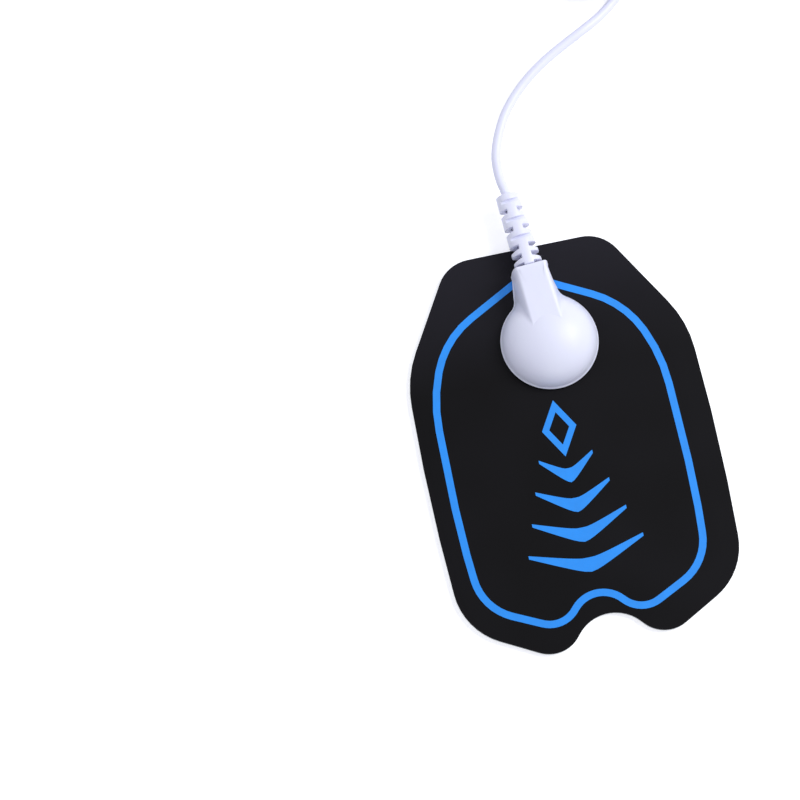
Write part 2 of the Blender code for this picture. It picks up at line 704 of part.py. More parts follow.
def make_strain_relief(looks, pivot):
    """The slotted boot: a collar in the neck, a groove in its mouth and a tapered, ribbed body."""
    root = bpy.data.objects.new("boot_root", None)
    bpy.context.scene.collection.objects.link(root)
    root.parent = pivot
    root.location = (0.0, NECK_MOUTH_Y, BOOT_Z)
    root.rotation_euler = (-math.pi / 2, 0.0, BOOT_BEND)
    bore = CABLE_RADIUS + FIT_GAP
    inner_face = -END_WALL - FIT_GAP
    profile = [
        (bore, inner_face - BOOT_COLLAR_LENGTH),
        (BOOT_COLLAR_RADIUS, inner_face - BOOT_COLLAR_LENGTH),
        (BOOT_COLLAR_RADIUS, inner_face),
        (BOOT_GROOVE_RADIUS, inner_face),
        (BOOT_GROOVE_RADIUS, FIT_GAP),
        (BOOT_ROOT_RADIUS, FIT_GAP),
        (BOOT_END_RADIUS, BOOT_LENGTH - BOOT_EDGE),
        (BOOT_END_RADIUS - BOOT_EDGE, BOOT_LENGTH),
        (bore, BOOT_LENGTH),
    ]
    boot = add("strain_relief", turned(profile, SMALL_STEPS), looks["plastic"], root)
    reach = BOOT_ROOT_RADIUS + FIT_GAP
    slots = []
    for low, high in slot_spans(SIDE_SLOTS, SIDE_SLOT_WIDTH):
        slots.append(box((SIDE_SLOT_FLOOR, -reach, low), (reach, reach, high)))
        slots.append(box((-reach, -reach, low), (-SIDE_SLOT_FLOOR, reach, high)))
    for low, high in slot_spans(TOP_SLOTS, TOP_SLOT_WIDTH):
        slots.append(box((-reach, TOP_SLOT_FLOOR, low), (reach, reach, high)))
        slots.append(box((-reach, -reach, low), (reach, -TOP_SLOT_FLOOR, high)))
    boolean(boot, add("boot_slots", joined(slots), parent=root))


def slot_spans(places, width):
    """Where the slots that fit on the strain relief start and end. One at the mouth runs out there."""
    middles = [BOOT_LENGTH - FIRST_SLOT_FROM_END - place * SLOT_PITCH for place in places]
    spans = [(middle - width / 2, middle + width / 2) for middle in middles if middle > FIT_GAP]
    return [(0.0 if low < FIT_GAP * 2 else low, high) for low, high in spans]


# The cable


def lead_point(y, turn=0.0, from_y=0.0):
    """A point on the lead's axis in the world, or on a line that bends off it at from_y."""
    base = Matrix.Rotation(LEAD_TURN, 3, "Z") @ Vector((0.0, from_y, BOOT_Z))
    return base + Matrix.Rotation(LEAD_TURN + turn, 3, "Z") @ Vector((0.0, y - from_y, 0.0))


def coil_place(angle, radius):
    """A plan point on the coil, by angle and radius about its centre."""
    return Vector((COIL_CENTRE[0] + radius * math.cos(angle), COIL_CENTRE[1] + radius * math.sin(angle)))


def coil_heading(angle):
    """The plan direction of an anticlockwise turn at an angle."""
    return Vector((-math.sin(angle), math.cos(angle)))


def tail_point(distance, z):
    """A point on the straight tail, at a distance from where the last turn leaves the coil."""
    place = coil_place(COIL_LEAVE_ANGLE, COIL_LEAVE_RADIUS) + coil_heading(COIL_LEAVE_ANGLE) * distance
    return Vector((place.x, place.y, z))


def clear_of_coil(radius):
    """How far along a tangent at this radius the cable's side clears the coil's solid."""
    return math.sqrt((COIL_OUTER + FIT_GAP) ** 2 - (radius - CABLE_RADIUS) ** 2)


def make_cable(looks):
    """The free run from the crimp to the coil, the coil as one solid, and the tail to the plug."""
    first_layer = COIL_Z + CABLE_RADIUS
    entry = coil_place(COIL_ENTRY_ANGLE, COIL_OUTER_TURN)
    near = entry - coil_heading(COIL_ENTRY_ANGLE) * clear_of_coil(COIL_OUTER_TURN)
    route = [lead_point(CABLE_START_Y), lead_point((CABLE_START_Y + NECK_MOUTH_Y) / 2)]
    boot_end = NECK_MOUTH_Y + BOOT_LENGTH
    for y in (NECK_MOUTH_Y, (NECK_MOUTH_Y + boot_end) / 2, boot_end):
        route.append(lead_point(y, BOOT_BEND, NECK_MOUTH_Y))
    route += [*CABLE_ROUTE, (near.x, near.y, first_layer)]
    tube("lead_cord", smooth_path(route, 2.4 * CABLE_RADIUS), CABLE_RADIUS, looks["cable"])
    section = [(COIL_INNER, COIL_Z), (COIL_OUTER, COIL_Z), (COIL_OUTER, COIL_TOP), (COIL_INNER, COIL_TOP)]
    coil = add("lead_coil", turned(section), looks["cable"])
    coil.location = (*COIL_CENTRE, 0.0)
    last_layer = COIL_TOP - CABLE_RADIUS
    start = clear_of_coil(COIL_LEAVE_RADIUS)
    tail = [tail_point(start, last_layer), tail_point(TAIL_LEVEL, last_layer - TAIL_DIP)]
    tail.append(tail_point((TAIL_LEVEL + TAIL_LENGTH) / 2, (last_layer + PLUG_RADIUS) / 2))
    tail.append(tail_point(TAIL_LENGTH - 2 * CABLE_RADIUS, PLUG_RADIUS))
    tail.append(tail_point(TAIL_LENGTH, PLUG_RADIUS))
    tube("lead_tail", smooth_path(tail, 2.4 * CABLE_RADIUS), CABLE_RADIUS, looks["cable"])


def make_tie(looks):
    """The band that holds the coil, round its section on the side away from the lead."""
    x0, y0 = COIL_CENTRE
    near, far = x0 - COIL_OUTER - FIT_GAP, x0 - math.sqrt(COIL_INNER**2 - (TIE_WIDTH / 2) ** 2) + FIT_GAP
    inner = [(near, COIL_Z), (far, COIL_Z), (far, COIL_TOP + FIT_GAP), (near, COIL_TOP + FIT_GAP)]
    low, high = COIL_Z - TIE_THICKNESS, COIL_TOP + FIT_GAP + TIE_THICKNESS
    left, right = near - TIE_THICKNESS, far + TIE_THICKNESS
    outer = [(left, low), (right, low), (right, high), (left, high)]
    back, front = y0 - TIE_WIDTH / 2, y0 + TIE_WIDTH / 2
    order = ((outer, back), (outer, front), (inner, front), (inner, back))
    band = loft([[(x, y, z) for x, z in ring] for ring, y in order], closed=True)
    add("coil_tie", band, looks["tie"], smooth=False)


def make_plug(looks):
    """The single-pole pin plug on the lead's far end, lying beside the coil."""
    rear = tail_point(TAIL_LENGTH + FIT_GAP, PLUG_RADIUS)
    heading = coil_heading(COIL_LEAVE_ANGLE)
    turn = Vector((heading.x, heading.y, 0.0)).to_track_quat("Z", "Y").to_euler()
    grip_start, grip_end = PLUG_REAR_LENGTH + GRIPS_FROM_REAR, PLUG_LENGTH - GRIPS_FROM_FRONT
    pitch = (grip_end - grip_start) / PLUG_GRIPS
    body = [(0.0, 0.0), (PLUG_REAR_RADIUS, 0.0), (PLUG_REAR_RADIUS, PLUG_REAR_LENGTH)]
    body.append((PLUG_RADIUS, grip_start))
    for i in range(PLUG_GRIPS):
        low = grip_start + i * pitch
        body += [(PLUG_RADIUS, low + pitch * 0.3), (PLUG_RADIUS - PLUG_WAIST, low + pitch * 0.45)]
        body += [(PLUG_RADIUS - PLUG_WAIST, low + pitch * 0.75), (PLUG_RADIUS, low + pitch * 0.9)]
    nose = PLUG_RADIUS - PLUG_WAIST
    body += [(PLUG_RADIUS, PLUG_LENGTH - PLUG_WAIST), (nose, PLUG_LENGTH), (0.0, PLUG_LENGTH)]
    plug = add("plug_body", turned(body, SMALL_STEPS), looks["plastic"])
    collar = PIN_COLLAR_LENGTH
    pin = [
        (0.0, 0.0),
        (PIN_COLLAR_RADIUS, 0.0),
        (PIN_COLLAR_RADIUS, collar),
        (PIN_RADIUS, collar),
        (PIN_RADIUS, PIN_LENGTH - PIN_RADIUS),
        (PIN_RADIUS / 2, PIN_LENGTH),
        (0.0, PIN_LENGTH),
    ]
    metal = add("plug_pin", turned(pin, SMALL_STEPS), looks["steel"])
    plug.location, plug.rotation_euler = rear, turn
    metal.location = rear + Vector((heading.x, heading.y, 0.0)) * (PLUG_LENGTH + FIT_GAP)
    metal.rotation_euler = turn


def main():
    """Build the part."""
    clear_scene()
    looks = {
        "gel": finish("hydrogel", (0.62, 0.64, 0.62), 0.25),
        "carbon": finish("carbon_film", (0.018, 0.018, 0.02), 0.6),
        "film": finish("black_film", (0.012, 0.012, 0.015), 0.45),
        "print": finish("blue_ink", (0.03, 0.3, 0.95), 0.4),
        "plastic": finish("white_plastic", (0.86, 0.87, 0.93), 0.4),
        "cable": finish("cable_jacket", (0.86, 0.87, 0.94), 0.45),
        "steel": finish("nickel_steel", (0.75, 0.75, 0.74), 0.25, 1.0),
        "brass": finish("plated_brass", (0.8, 0.7, 0.42), 0.3, 1.0),
        "copper": finish("copper_strands", (0.85, 0.45, 0.3), 0.35, 1.0),
        "tie": finish("tie_band", (0.03, 0.03, 0.035), 0.6),
    }
    pivot = bpy.data.objects.new("lead_pivot", None)
    bpy.context.scene.collection.objects.link(pivot)
    pivot.rotation_euler = (0.0, 0.0, LEAD_TURN)
    make_layers(looks)
    make_stripe(looks)
    make_figure(looks)
    make_snap(looks)
    make_cap(looks, pivot)
    make_base(looks, pivot)
    make_socket(looks, pivot)
    make_terminal(looks, pivot)
    make_strain_relief(looks, pivot)
    make_cable(looks)
    make_tie(looks)
    make_plug(looks)


main()
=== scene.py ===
"""Studio scene of a snap electrode pad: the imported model, dressed for its photograph.

The pad lies face up on a white table. Its snap lead is clicked on, runs off the top of the picture and
ends out of view in a tied coil and a pin plug. Everything is in metres in the model's own frame: the
origin is on the snap stud's axis in the gel's skin face, +Y runs along the pad towards the lead, +Z up.
"""

from __future__ import annotations

import logging
import math
from dataclasses import dataclass
from enum import Enum
from functools import cache
from typing import Any, Mapping, Sequence, Union

import bmesh
import bpy
from mathutils import Matrix, Vector


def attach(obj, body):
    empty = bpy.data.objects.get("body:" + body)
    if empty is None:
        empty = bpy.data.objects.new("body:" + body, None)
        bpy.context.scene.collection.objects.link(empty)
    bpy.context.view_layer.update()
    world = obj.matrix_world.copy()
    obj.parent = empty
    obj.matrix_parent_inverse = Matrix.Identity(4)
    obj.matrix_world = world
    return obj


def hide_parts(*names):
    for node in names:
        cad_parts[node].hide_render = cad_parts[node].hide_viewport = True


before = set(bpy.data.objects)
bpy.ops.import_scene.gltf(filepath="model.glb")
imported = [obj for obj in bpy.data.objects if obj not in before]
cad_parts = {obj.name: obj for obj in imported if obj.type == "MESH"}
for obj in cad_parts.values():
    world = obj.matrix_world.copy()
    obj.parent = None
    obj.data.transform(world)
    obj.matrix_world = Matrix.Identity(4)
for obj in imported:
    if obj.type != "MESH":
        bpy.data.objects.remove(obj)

LOG = logging.getLogger("electrode_pad")
MM = 0.001
WHITE = (1.0, 1.0, 1.0, 1.0)
SEEN_RAYS = ("Is Camera Ray", "Is Glossy Ray", "Is Transmission Ray")
WAVE_TURN = 3.14
JOIN_DISTANCE = 1e-7
SHARP_ANGLE = 38.0
EDGE_ANGLE = 50.0
EDGE_STEPS = 2

Point = tuple[float, float]
Triple = tuple[float, float, float]
Color = Triple
Fed = Union["Socket", float, tuple, Vector]


class Body(Enum):
    """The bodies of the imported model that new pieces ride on."""

    PAD = "pad"
    LEAD = "lead"


class Slot(Enum):
    """The record's material slots."""

    GEL = "hydrogel"
    CARBON = "carbon_film"
    FILM = "black_film"
    INK = "blue_ink"
    STEEL = "nickel_steel"
    BRASS = "plated_brass"
    COPPER = "copper_strands"
    PLASTIC = "white_plastic"
    JACKET = "cable_jacket"
    TIE = "tie_band"


# Shader maths


class Socket:
    """A value in a node tree that can be used in arithmetic."""

    def __init__(self, kit: NodeKit, output: bpy.types.NodeSocket) -> None:
        """Wrap a node's output.

        Args:
            kit: What adds nodes to the output's tree.
            output: The output socket.
        """
        self.kit = kit
        self.output = output

    def _maths(self, operation: str, first: Fed, second: Fed) -> Socket:
        """Add a Math node that works on two values."""
        return self.kit.node("ShaderNodeMath", {"operation": operation}, {0: first, 1: second})

    def __add__(self, other: Fed) -> Socket:
        """Add a value."""
        return self._maths("ADD", self, other)

    def __mul__(self, other: Fed) -> Socket:
        """Multiply by a value."""
        return self._maths("MULTIPLY", self, other)

    def peak(self, other: Fed) -> Socket:
        """The larger of this and another value."""
        return self._maths("MAXIMUM", self, other)


class NodeKit:
    """Adds nodes to a node tree and links them."""

    def __init__(self, tree: bpy.types.NodeTree) -> None:
        """Work on a node tree."""
        self.tree = tree

    def node(
        self,
        kind: str,
        settings: Mapping[str, Any] | None = None,
        sockets: Mapping[Union[str, int], Fed] | None = None,
        output: Union[str, int] = 0,
    ) -> Socket:
        """Add a node.

        Args:
            kind: The node's type.
            settings: Its own settings, set first.
            sockets: What its inputs take, by name, identifier or place.
            output: The output that is wanted, by name, identifier or place.

        Returns:
            The wrapped output.
        """
        made = self.tree.nodes.new(kind)
        for name, value in (settings or {}).items():
            setattr(made, name, value)
        for key, value in (sockets or {}).items():
            self.feed(self._find(made.inputs, key), value)
        return Socket(self, self._find(made.outputs, output))

    def feed(self, socket: bpy.types.NodeSocket, value: Fed) -> None:
        """Link a wrapped output to an input, or set the input's own value.

        Args:
            socket: The input.
            value: What it takes.
        """
        if isinstance(value, Socket):
            self.tree.links.new(value.output, socket)
        else:
            socket.default_value = value

    def seen(self) -> Socket:
        """1 for the camera, in reflections and through clear things, and 0 for the light that they cast."""
        rays = [self.node("ShaderNodeLightPath", output=name) for name in SEEN_RAYS]
        return rays[0].peak(rays[1]).peak(rays[2])

    @staticmethod
    def _find(sockets: Any, key: Union[str, int]) -> bpy.types.NodeSocket:
        """Find a socket by place, identifier or name."""
        named = [socket for socket in sockets if socket.identifier == key]
        return named[0] if named else sockets[key]


class Recipe(NodeKit):
    """The node tree of one material."""

    def __init__(self, name: str) -> None:
        """Start a material with its Principled shader.

        Args:
            name: The material's name.
        """
        self.material = bpy.data.materials.new(name)
        self.material.use_nodes = True
        super().__init__(self.material.node_tree)
        self.shader = self.tree.nodes["Principled BSDF"]

    def set(self, **inputs: Fed) -> None:
        """Set the Principled shader's inputs, named in lower case with underscores.

        Args:
            inputs: The values or links.
        """
        for name, value in inputs.items():
            if name == "base_color" and not isinstance(value, Socket):
                value = (*value, 1.0)
            self.feed(self.shader.inputs[name.replace("_", " ").title().replace("Ior", "IOR")], value)

    def places(self, scale: Sequence[float] = (1.0, 1.0, 1.0)) -> Socket:
        """Places on the object in metres, scaled along each axis."""
        place = self.node("ShaderNodeTexCoord", output="Object")
        return self.node("ShaderNodeMapping", sockets={"Vector": place, "Scale": Vector(scale)})

    def noise(self, cell: float, stretch: Sequence[float] = (1.0, 1.0, 1.0), detail: float = 2.0) -> Socket:
        """Soft noise from 0 to 1.

        Args:
            cell: The size of its patches in metres.
            stretch: How much tighter it runs along each axis.
            detail: Its octaves.

        Returns:
            The noise's value.
        """
        sockets = {"Vector": self.places(stretch), "Scale": 1.0 / cell, "Detail": detail}
        return self.node("ShaderNodeTexNoise", sockets=sockets, output="Fac")

    def waves(self, axis: str, spacing: float, wander: float, detail: float, finer: float = 1.0) -> Socket:
        """Bands across an axis, from 0 to 1.

        Args:
            axis: X or Y.
            spacing: The distance between the bands in metres.
            wander: How far they stray.
            detail: The octaves of their straying.
            finer: The scale of those octaves.

        Returns:
            The bands' value.
        """
        sockets = {"Vector": self.places(), "Scale": 1.0 / spacing / WAVE_TURN, "Distortion": wander}
        sockets.update({"Detail": detail, "Detail Scale": finer})
        return self.node("ShaderNodeTexWave", {"bands_direction": axis}, sockets, "Fac")

    def band(self, value: Fed, low: float, high: float) -> Socket:
        """Spread the part of a value between two limits over 0 to 1, and clip the rest."""
        sockets = {"Value": value, "From Min": low, "From Max": high}
        return self.node("ShaderNodeMapRange", {"clamp": True}, sockets)

    def blend(self, amount: Fed, first: Fed, second: Fed) -> Socket:
        """Mix two colours.

        Args:
            amount: The share of the second.
            first: A colour or a link.
            second: A colour or a link.

        Returns:
            The mixed colour.
        """
        pair = [value if isinstance(value, Socket) else (*value, 1.0) for value in (first, second)]
        sockets = {"Factor_Float": amount, "A_Color": pair[0], "B_Color": pair[1]}
        return self.node("ShaderNodeMix", {"data_type": "RGBA"}, sockets, "Result_Color")

    def bump(self, height: Socket, depth: float) -> None:
        """Raise the surface by a height, as a bump that feeds Normal.

        Args:
            height: The height, from 0 to 1.
            depth: How far 1 stands out, in metres.
        """
        sockets = {"Height": height, "Distance": depth, "Strength": 1.0}
        self.set(normal=self.node("ShaderNodeBump", sockets=sockets, output="Normal"))


# Finishes


@dataclass(frozen=True)
class Finish:
    """A surface finish: a colour, a gloss and what changes over the surface."""

    color: Color
    roughness: float
    metallic: float = 0.0
    shine: float = 0.5

    def material(self, name: str) -> bpy.types.Material:
        """Make the material.

        Args:
            name: Its name.

        Returns:
            The new material.
        """
        recipe = Recipe(name)
        recipe.set(base_color=self.color, roughness=self.roughness, metallic=self.metallic)
        recipe.set(specular_ior_level=self.shine)
        self.detail(recipe)
        return recipe.material

    def detail(self, recipe: Recipe) -> None:
        """Add what changes over the surface. A plain finish adds nothing."""


@dataclass(frozen=True)
class CoverFilm(Finish):
    """Black film with a fine satin grain, random paler clouds, a painted sheen that makes it paler towards
    the lead's edge, and faint drag marks.
    """

    # The paler colour: random clouds and the painted sheen both blend towards it.
    paler_tone_and_painted_sheen: Color = (0.0155, 0.0146, 0.0205)
    grain: float = 0.16 * MM
    relief: float = 0.006 * MM
    # The span along Y over which the painted sheen rises from none to full.
    bloom: Point = (-6.0 * MM, 22.0 * MM)
    cloud: float = 22.0 * MM
    mark: float = 9.0 * MM

    def detail(self, recipe: Recipe) -> None:
        """Add the painted sheen towards the lead's edge, the random clouds, the grain and the marks."""
        along = recipe.node("ShaderNodeSeparateXYZ", sockets={"Vector": recipe.places()}, output="Y")
        # Painted sheen: the film's colour is painted paler towards the lead's edge, standing in for the
        # light's sheen.
        painted_sheen = recipe.band(along, *self.bloom)
        cloud = recipe.band(recipe.noise(self.cloud, detail=1.0), 0.35, 0.65)
        drag = recipe.band(recipe.noise(self.mark, (1.0, 7.0, 1.0), 3.0), 0.62, 0.8)
        grain = recipe.noise(self.grain, detail=1.0)
        recipe.set(base_color=recipe.blend(cloud * 0.12 + painted_sheen * 0.8, self.color, self.paler_tone_and_painted_sheen))
        recipe.set(roughness=grain * 0.1 + cloud * 0.05 + drag * 0.07 + (self.roughness - 0.08))
        recipe.bump(grain, self.relief)


@dataclass(frozen=True)
class ScreenInk(Finish):
    """Ink laid through a screen: a fine mesh in its surface and a slightly uneven film."""

    thin: Color = (0.003, 0.247, 0.8)
    mesh: float = 0.22 * MM
    relief: float = 0.006 * MM
    patch: float = 2.5 * MM

    def detail(self, recipe: Recipe) -> None:
        """Add the mesh and the uneven film."""
        weave = recipe.waves("X", self.mesh, 0.4, 1.0) * recipe.waves("Y", self.mesh, 0.4, 1.0)
        film = recipe.band(recipe.noise(self.patch), 0.3, 0.7)
        recipe.set(base_color=recipe.blend(film * 0.7, self.color, self.thin))
        recipe.set(roughness=weave * 0.12 + film * 0.06 + (self.roughness - 0.08))
        recipe.bump(weave, self.relief)


@dataclass(frozen=True)
class Hydrogel(Finish):
    """Cloudy conductive gel over a woven scrim, glossy where it is smooth."""

    cloud: Color = (0.5, 0.53, 0.52)
    thread: Color = (0.72, 0.73, 0.71)
    scrim: float = 0.9 * MM
    relief: float = 0.03 * MM
    milk: float = 6.0 * MM
    ripple: float = 1.4 * MM

    def detail(self, recipe: Recipe) -> None:
        """Add the clouding, the scrim's threads on the flat faces and the tacky ripples."""
        warp, weft = (recipe.waves(axis, self.scrim, 1.2, 2.0, 2.0) for axis in ("X", "Y"))
        normal = recipe.node("ShaderNodeNewGeometry", output="Normal")
        level = recipe.node("ShaderNodeSeparateXYZ", sockets={"Vector": normal}, output="Z")
        threads = recipe.band(warp.peak(weft), 0.72, 1.0) * level * level
        milk = recipe.band(recipe.noise(self.milk, detail=4.0), 0.3, 0.72)
        ripple = recipe.noise(self.ripple, detail=3.0)
        washed = recipe.blend(milk, self.color, self.cloud)
        recipe.set(base_color=recipe.blend(threads * 0.35, washed, self.thread))
        recipe.set(roughness=milk * 0.14 + threads * 0.08 + (self.roughness - 0.06))
        recipe.bump(ripple * 0.7 + threads * 0.3, self.relief)


@dataclass(frozen=True)
class MouldedPlastic(Finish):
    """Satin moulded plastic: a fine eroded texture and slow changes of gloss and tint."""

    tint: Color = (0.78, 0.78, 0.94)
    grain: float = 0.11 * MM
    relief: float = 0.004 * MM
    depth: float = 0.0
    glow_depth: float = 1.2 * MM
    glow: Color = (1.0, 0.9, 1.0)
    flow: float = 5.0 * MM

    def detail(self, recipe: Recipe) -> None:
        """Add the mould's texture, the flow, the tint and how far light soaks in."""
        recipe.set(subsurface_weight=self.depth, subsurface_scale=self.glow_depth)
        recipe.set(subsurface_radius=self.glow)
        flow = recipe.band(recipe.noise(self.flow, (1.0, 0.35, 1.0), 2.0), 0.3, 0.7)
        grain = recipe.noise(self.grain, detail=2.0)
        recipe.set(base_color=recipe.blend(flow * 0.5, self.color, self.tint))
        recipe.set(roughness=grain * 0.1 + flow * 0.08 + (self.roughness - 0.09))
        recipe.bump(grain, self.relief)


@dataclass(frozen=True)
class DrawnMetal(Finish):
    """Drawn and plated sheet metal: fine lines, and a duller bloom in patches."""

    bloom: Color = (0.6, 0.59, 0.57)
    line: float = 0.5 * MM
    patch: float = 1.6 * MM
    relief: float = 0.003 * MM

    def detail(self, recipe: Recipe) -> None:
        """Add the drawing lines and the bloom."""
        lines = recipe.noise(self.line, (1.0, 1.0, 14.0), 3.0)
        bloom = recipe.band(recipe.noise(self.patch, detail=3.0), 0.45, 0.8)
        recipe.set(base_color=recipe.blend(bloom * 0.6, self.color, self.bloom))
        recipe.set(roughness=lines * 0.1 + bloom * 0.16 + (self.roughness - 0.05))
        recipe.bump(lines, self.relief)


FINISHES: dict[Slot, Finish] = {
    Slot.GEL: Hydrogel((0.62, 0.64, 0.62), 0.25),
    Slot.CARBON: CoverFilm((0.018, 0.018, 0.02), 0.6),
    Slot.FILM: CoverFilm((0.003, 0.0028, 0.0036), 0.42, shine=0.08),
    Slot.INK: ScreenInk((0.005, 0.285, 0.91), 0.38),
    Slot.STEEL: DrawnMetal((0.75, 0.75, 0.74), 0.25, 1.0),
    Slot.BRASS: DrawnMetal((0.8, 0.7, 0.42), 0.3, 1.0, bloom=(0.62, 0.5, 0.28)),
    Slot.COPPER: DrawnMetal((0.85, 0.45, 0.3), 0.35, 1.0, bloom=(0.6, 0.28, 0.18)),
    Slot.PLASTIC: MouldedPlastic((0.83, 0.84, 0.98), 0.42, depth=0.3),
    Slot.JACKET: MouldedPlastic((0.83, 0.84, 0.98), 0.42, grain=0.2 * MM, depth=0.2),
    Slot.TIE: MouldedPlastic((0.03, 0.03, 0.035), 0.6, tint=(0.05, 0.05, 0.055), relief=0.02 * MM),
}


@cache
def material_of(slot: Slot) -> bpy.types.Material:
    """The material of a slot, made at its first use."""
    return FINISHES[slot].material(slot.value)


def dress_node(name: str, slot: Slot) -> bpy.types.Object:
    """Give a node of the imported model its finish.

    Args:
        name: The node.
        slot: The finish's slot.

    Returns:
        The node's object.
    """
    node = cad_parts[name]
    for place in node.material_slots:
        place.material = material_of(slot)
    if not node.material_slots:
        node.data.materials.append(material_of(slot))
    LOG.info("dressed %s in %s", name, slot.value)
    return node


def dress_piece(piece: bpy.types.Object, slot: Slot, body: Body, *nodes: str) -> bpy.types.Object:
    """Finish a new piece, let it ride on a body, and hide the nodes that it stands for.

    Args:
        piece: The new piece.
        slot: The finish's slot.
        body: The body that it moves with.
        nodes: The nodes that it replaces.

    Returns:
        The piece.
    """
    piece.data.materials.append(material_of(slot))
    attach(piece, body.value)
    if nodes:
        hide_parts(*nodes)
    LOG.info("built %s on %s", piece.name, body.value)
    return piece


# Mesh tools


def placed(name: str, data: bpy.types.ID) -> bpy.types.Object:
    """Add an object to the scene.

    Args:
        name: Its name.
        data: Its mesh, curve, lamp or camera.

    Returns:
        The object.
    """
    thing = bpy.data.objects.new(name, data)
    bpy.context.scene.collection.objects.link(thing)
    return thing


def link_mesh(name: str, form: bmesh.types.BMesh, sharp: float = SHARP_ANGLE) -> bpy.types.Object:
    """Turn a bmesh into a smooth-shaded object.

    Args:
        name: The object's name.
        form: The bmesh, which is freed.
        sharp: The angle in degrees over which an edge stays sharp.

    Returns:
        The linked object.
    """
    bmesh.ops.remove_doubles(form, verts=form.verts, dist=JOIN_DISTANCE)
    bmesh.ops.recalc_face_normals(form, faces=form.faces)
    mesh = bpy.data.meshes.new(name)
    form.to_mesh(mesh)
    form.free()
    mesh.shade_smooth()
    mesh.set_sharp_from_angle(angle=math.radians(sharp))
    return placed(name, mesh)


def loft(rings: Sequence[Sequence[Sequence[float]]], closed: bool = False) -> bmesh.types.BMesh:
    """Join rings of equally many points into a solid.

    Args:
        rings: The rings, in order.
        closed: Whether the last ring joins the first, in place of two end caps.

    Returns:
        The solid.
    """
    form = bmesh.new()
    rows = [[form.verts.new(point) for point in ring] for ring in rings]
    if closed:
        rows.append(rows[0])
    for lower, upper in zip(rows, rows[1:]):
        for i, corner in enumerate(lower):
            j = (i + 1) % len(lower)
            form.faces.new((corner, lower[j], upper[j], upper[i]))
    if not closed:
        form.faces.new(rows[0][::-1])
        form.faces.new(rows[-1])
    return form


def flat(outline: Sequence[Point], z: float) -> list[Triple]:
    """A plan outline at a height."""
    return [(x, y, z) for x, y in outline]


def arc(radius: float, angles: Sequence[float], centre: Sequence[float] = (0.0, 0.0)) -> list[Point]:
    """Points on a circle at the given angles."""
    return [(centre[0] + radius * math.cos(a), centre[1] + radius * math.sin(a)) for a in angles]


def turned(profile: Sequence[Point], steps: int) -> bmesh.types.BMesh:
    """Sweep a closed profile round the Z axis.

    Args:
        profile: Radius and height of each point.
        steps: The steps of a full turn.

    Returns:
        The solid.
    """
    form = bmesh.new()
    verts = [form.verts.new((radius, 0.0, height)) for radius, height in profile]
    pairs = zip(verts, verts[1:] + verts[:1])
    edges = [form.edges.new(pair) for pair in pairs if pair[0].co.x > 0 or pair[1].co.x > 0]
    turn = {"axis": (0, 0, 1), "cent": (0, 0, 0), "angle": 2 * math.pi, "steps": steps, "use_merge": True}
    bmesh.ops.spin(form, geom=verts + edges, **turn)
    return form


def rounded(corners: Sequence[Triple], step: float = 6.0) -> list[Point]:
    """Points round a closed outline whose corners are arcs.

    Args:
        corners: The x, y and radius of each corner.
        step: The angle between points on an arc, in degrees.

    Returns:
        The outline's points.
    """
    loop: list[Point] = []
    ring = list(corners)
    for before, corner, after in zip(ring[-1:] + ring[:-1], ring, ring[1:] + ring[:1]):
        point, radius = Vector(corner[:2]), corner[2]
        back = (Vector(before[:2]) - point).normalized()
        ahead = (Vector(after[:2]) - point).normalized()
        half = back.angle(ahead) / 2
        centre = point + (back + ahead).normalized() * radius / math.sin(half)
        start = point + back * radius / math.tan(half) - centre
        end = point + ahead * radius / math.tan(half) - centre
        first = math.atan2(start.y, start.x)
        sweep = (math.atan2(end.y, end.x) - first + math.pi) % (2 * math.pi) - math.pi
        count = max(1, round(abs(sweep) / math.radians(step)))
        loop += arc(radius, [first + sweep * i / count for i in range(count + 1)], centre)
    return loop


def drawn_in(loop: Sequence[Point], inset: float) -> list[Point]:
    """A clockwise outline moved sideways.

    Args:
        loop: The outline.
        inset: How far it moves, inwards where this is positive.

    Returns:
        The moved outline.
    """
    ring = list(loop)
    moved = []
    for before, here, after in zip(ring[-1:] + ring[:-1], ring, ring[1:] + ring[:1]):
        along = (Vector(after) - Vector(before)).normalized()
        moved.append((here[0] + along.y * inset, here[1] - along.x * inset))
    return moved


def smooth_path(points: Sequence[Sequence[float]], spacing: float) -> list[Vector]:
    """Points at about the given spacing on a Catmull-Rom curve.

    Args:
        points: The route's own points.
        spacing: The distance wanted between the new ones.

    Returns:
        The new points.
    """
    route = [Vector(p) for p in points]
    ends = [2 * route[0] - route[1], *route, 2 * route[-1] - route[-2]]
    path = [route[0]]
    for a, b, c, d in zip(ends, ends[1:], ends[2:], ends[3:]):
        steps = max(1, round((c - b).length / spacing))
        for i in range(1, steps + 1):
            t = i / steps
            cubic = (-a + 3 * b - 3 * c + d) * t**3 + (2 * a - 5 * b + 4 * c - d) * t**2
            path.append((cubic + (c - a) * t + 2 * b) / 2)
    return path


def applied(piece: bpy.types.Object) -> None:
    """Replace a piece's mesh by what its modifiers make of it, and drop them.

    Args:
        piece: The piece.
    """
    graph = bpy.context.evaluated_depsgraph_get()
    mesh = bpy.data.meshes.new_from_object(piece.evaluated_get(graph))
    piece.modifiers.clear()
    old, piece.data = piece.data, mesh
    bpy.data.meshes.remove(old)
    mesh.name = piece.name
    mesh.shade_smooth()
    mesh.set_sharp_from_angle(angle=math.radians(SHARP_ANGLE))


def cut(piece: bpy.types.Object, cutters: Sequence[bpy.types.Object]) -> None:
    """Cut helpers from a piece and remove them.

    Args:
        piece: The piece.
        cutters: The helpers.
    """
    for cutter in cutters:
        modifier = piece.modifiers.new(cutter.name, "BOOLEAN")
        modifier.object = cutter
    applied(piece)
    for cutter in cutters:
        bpy.data.objects.remove(cutter, do_unlink=True)


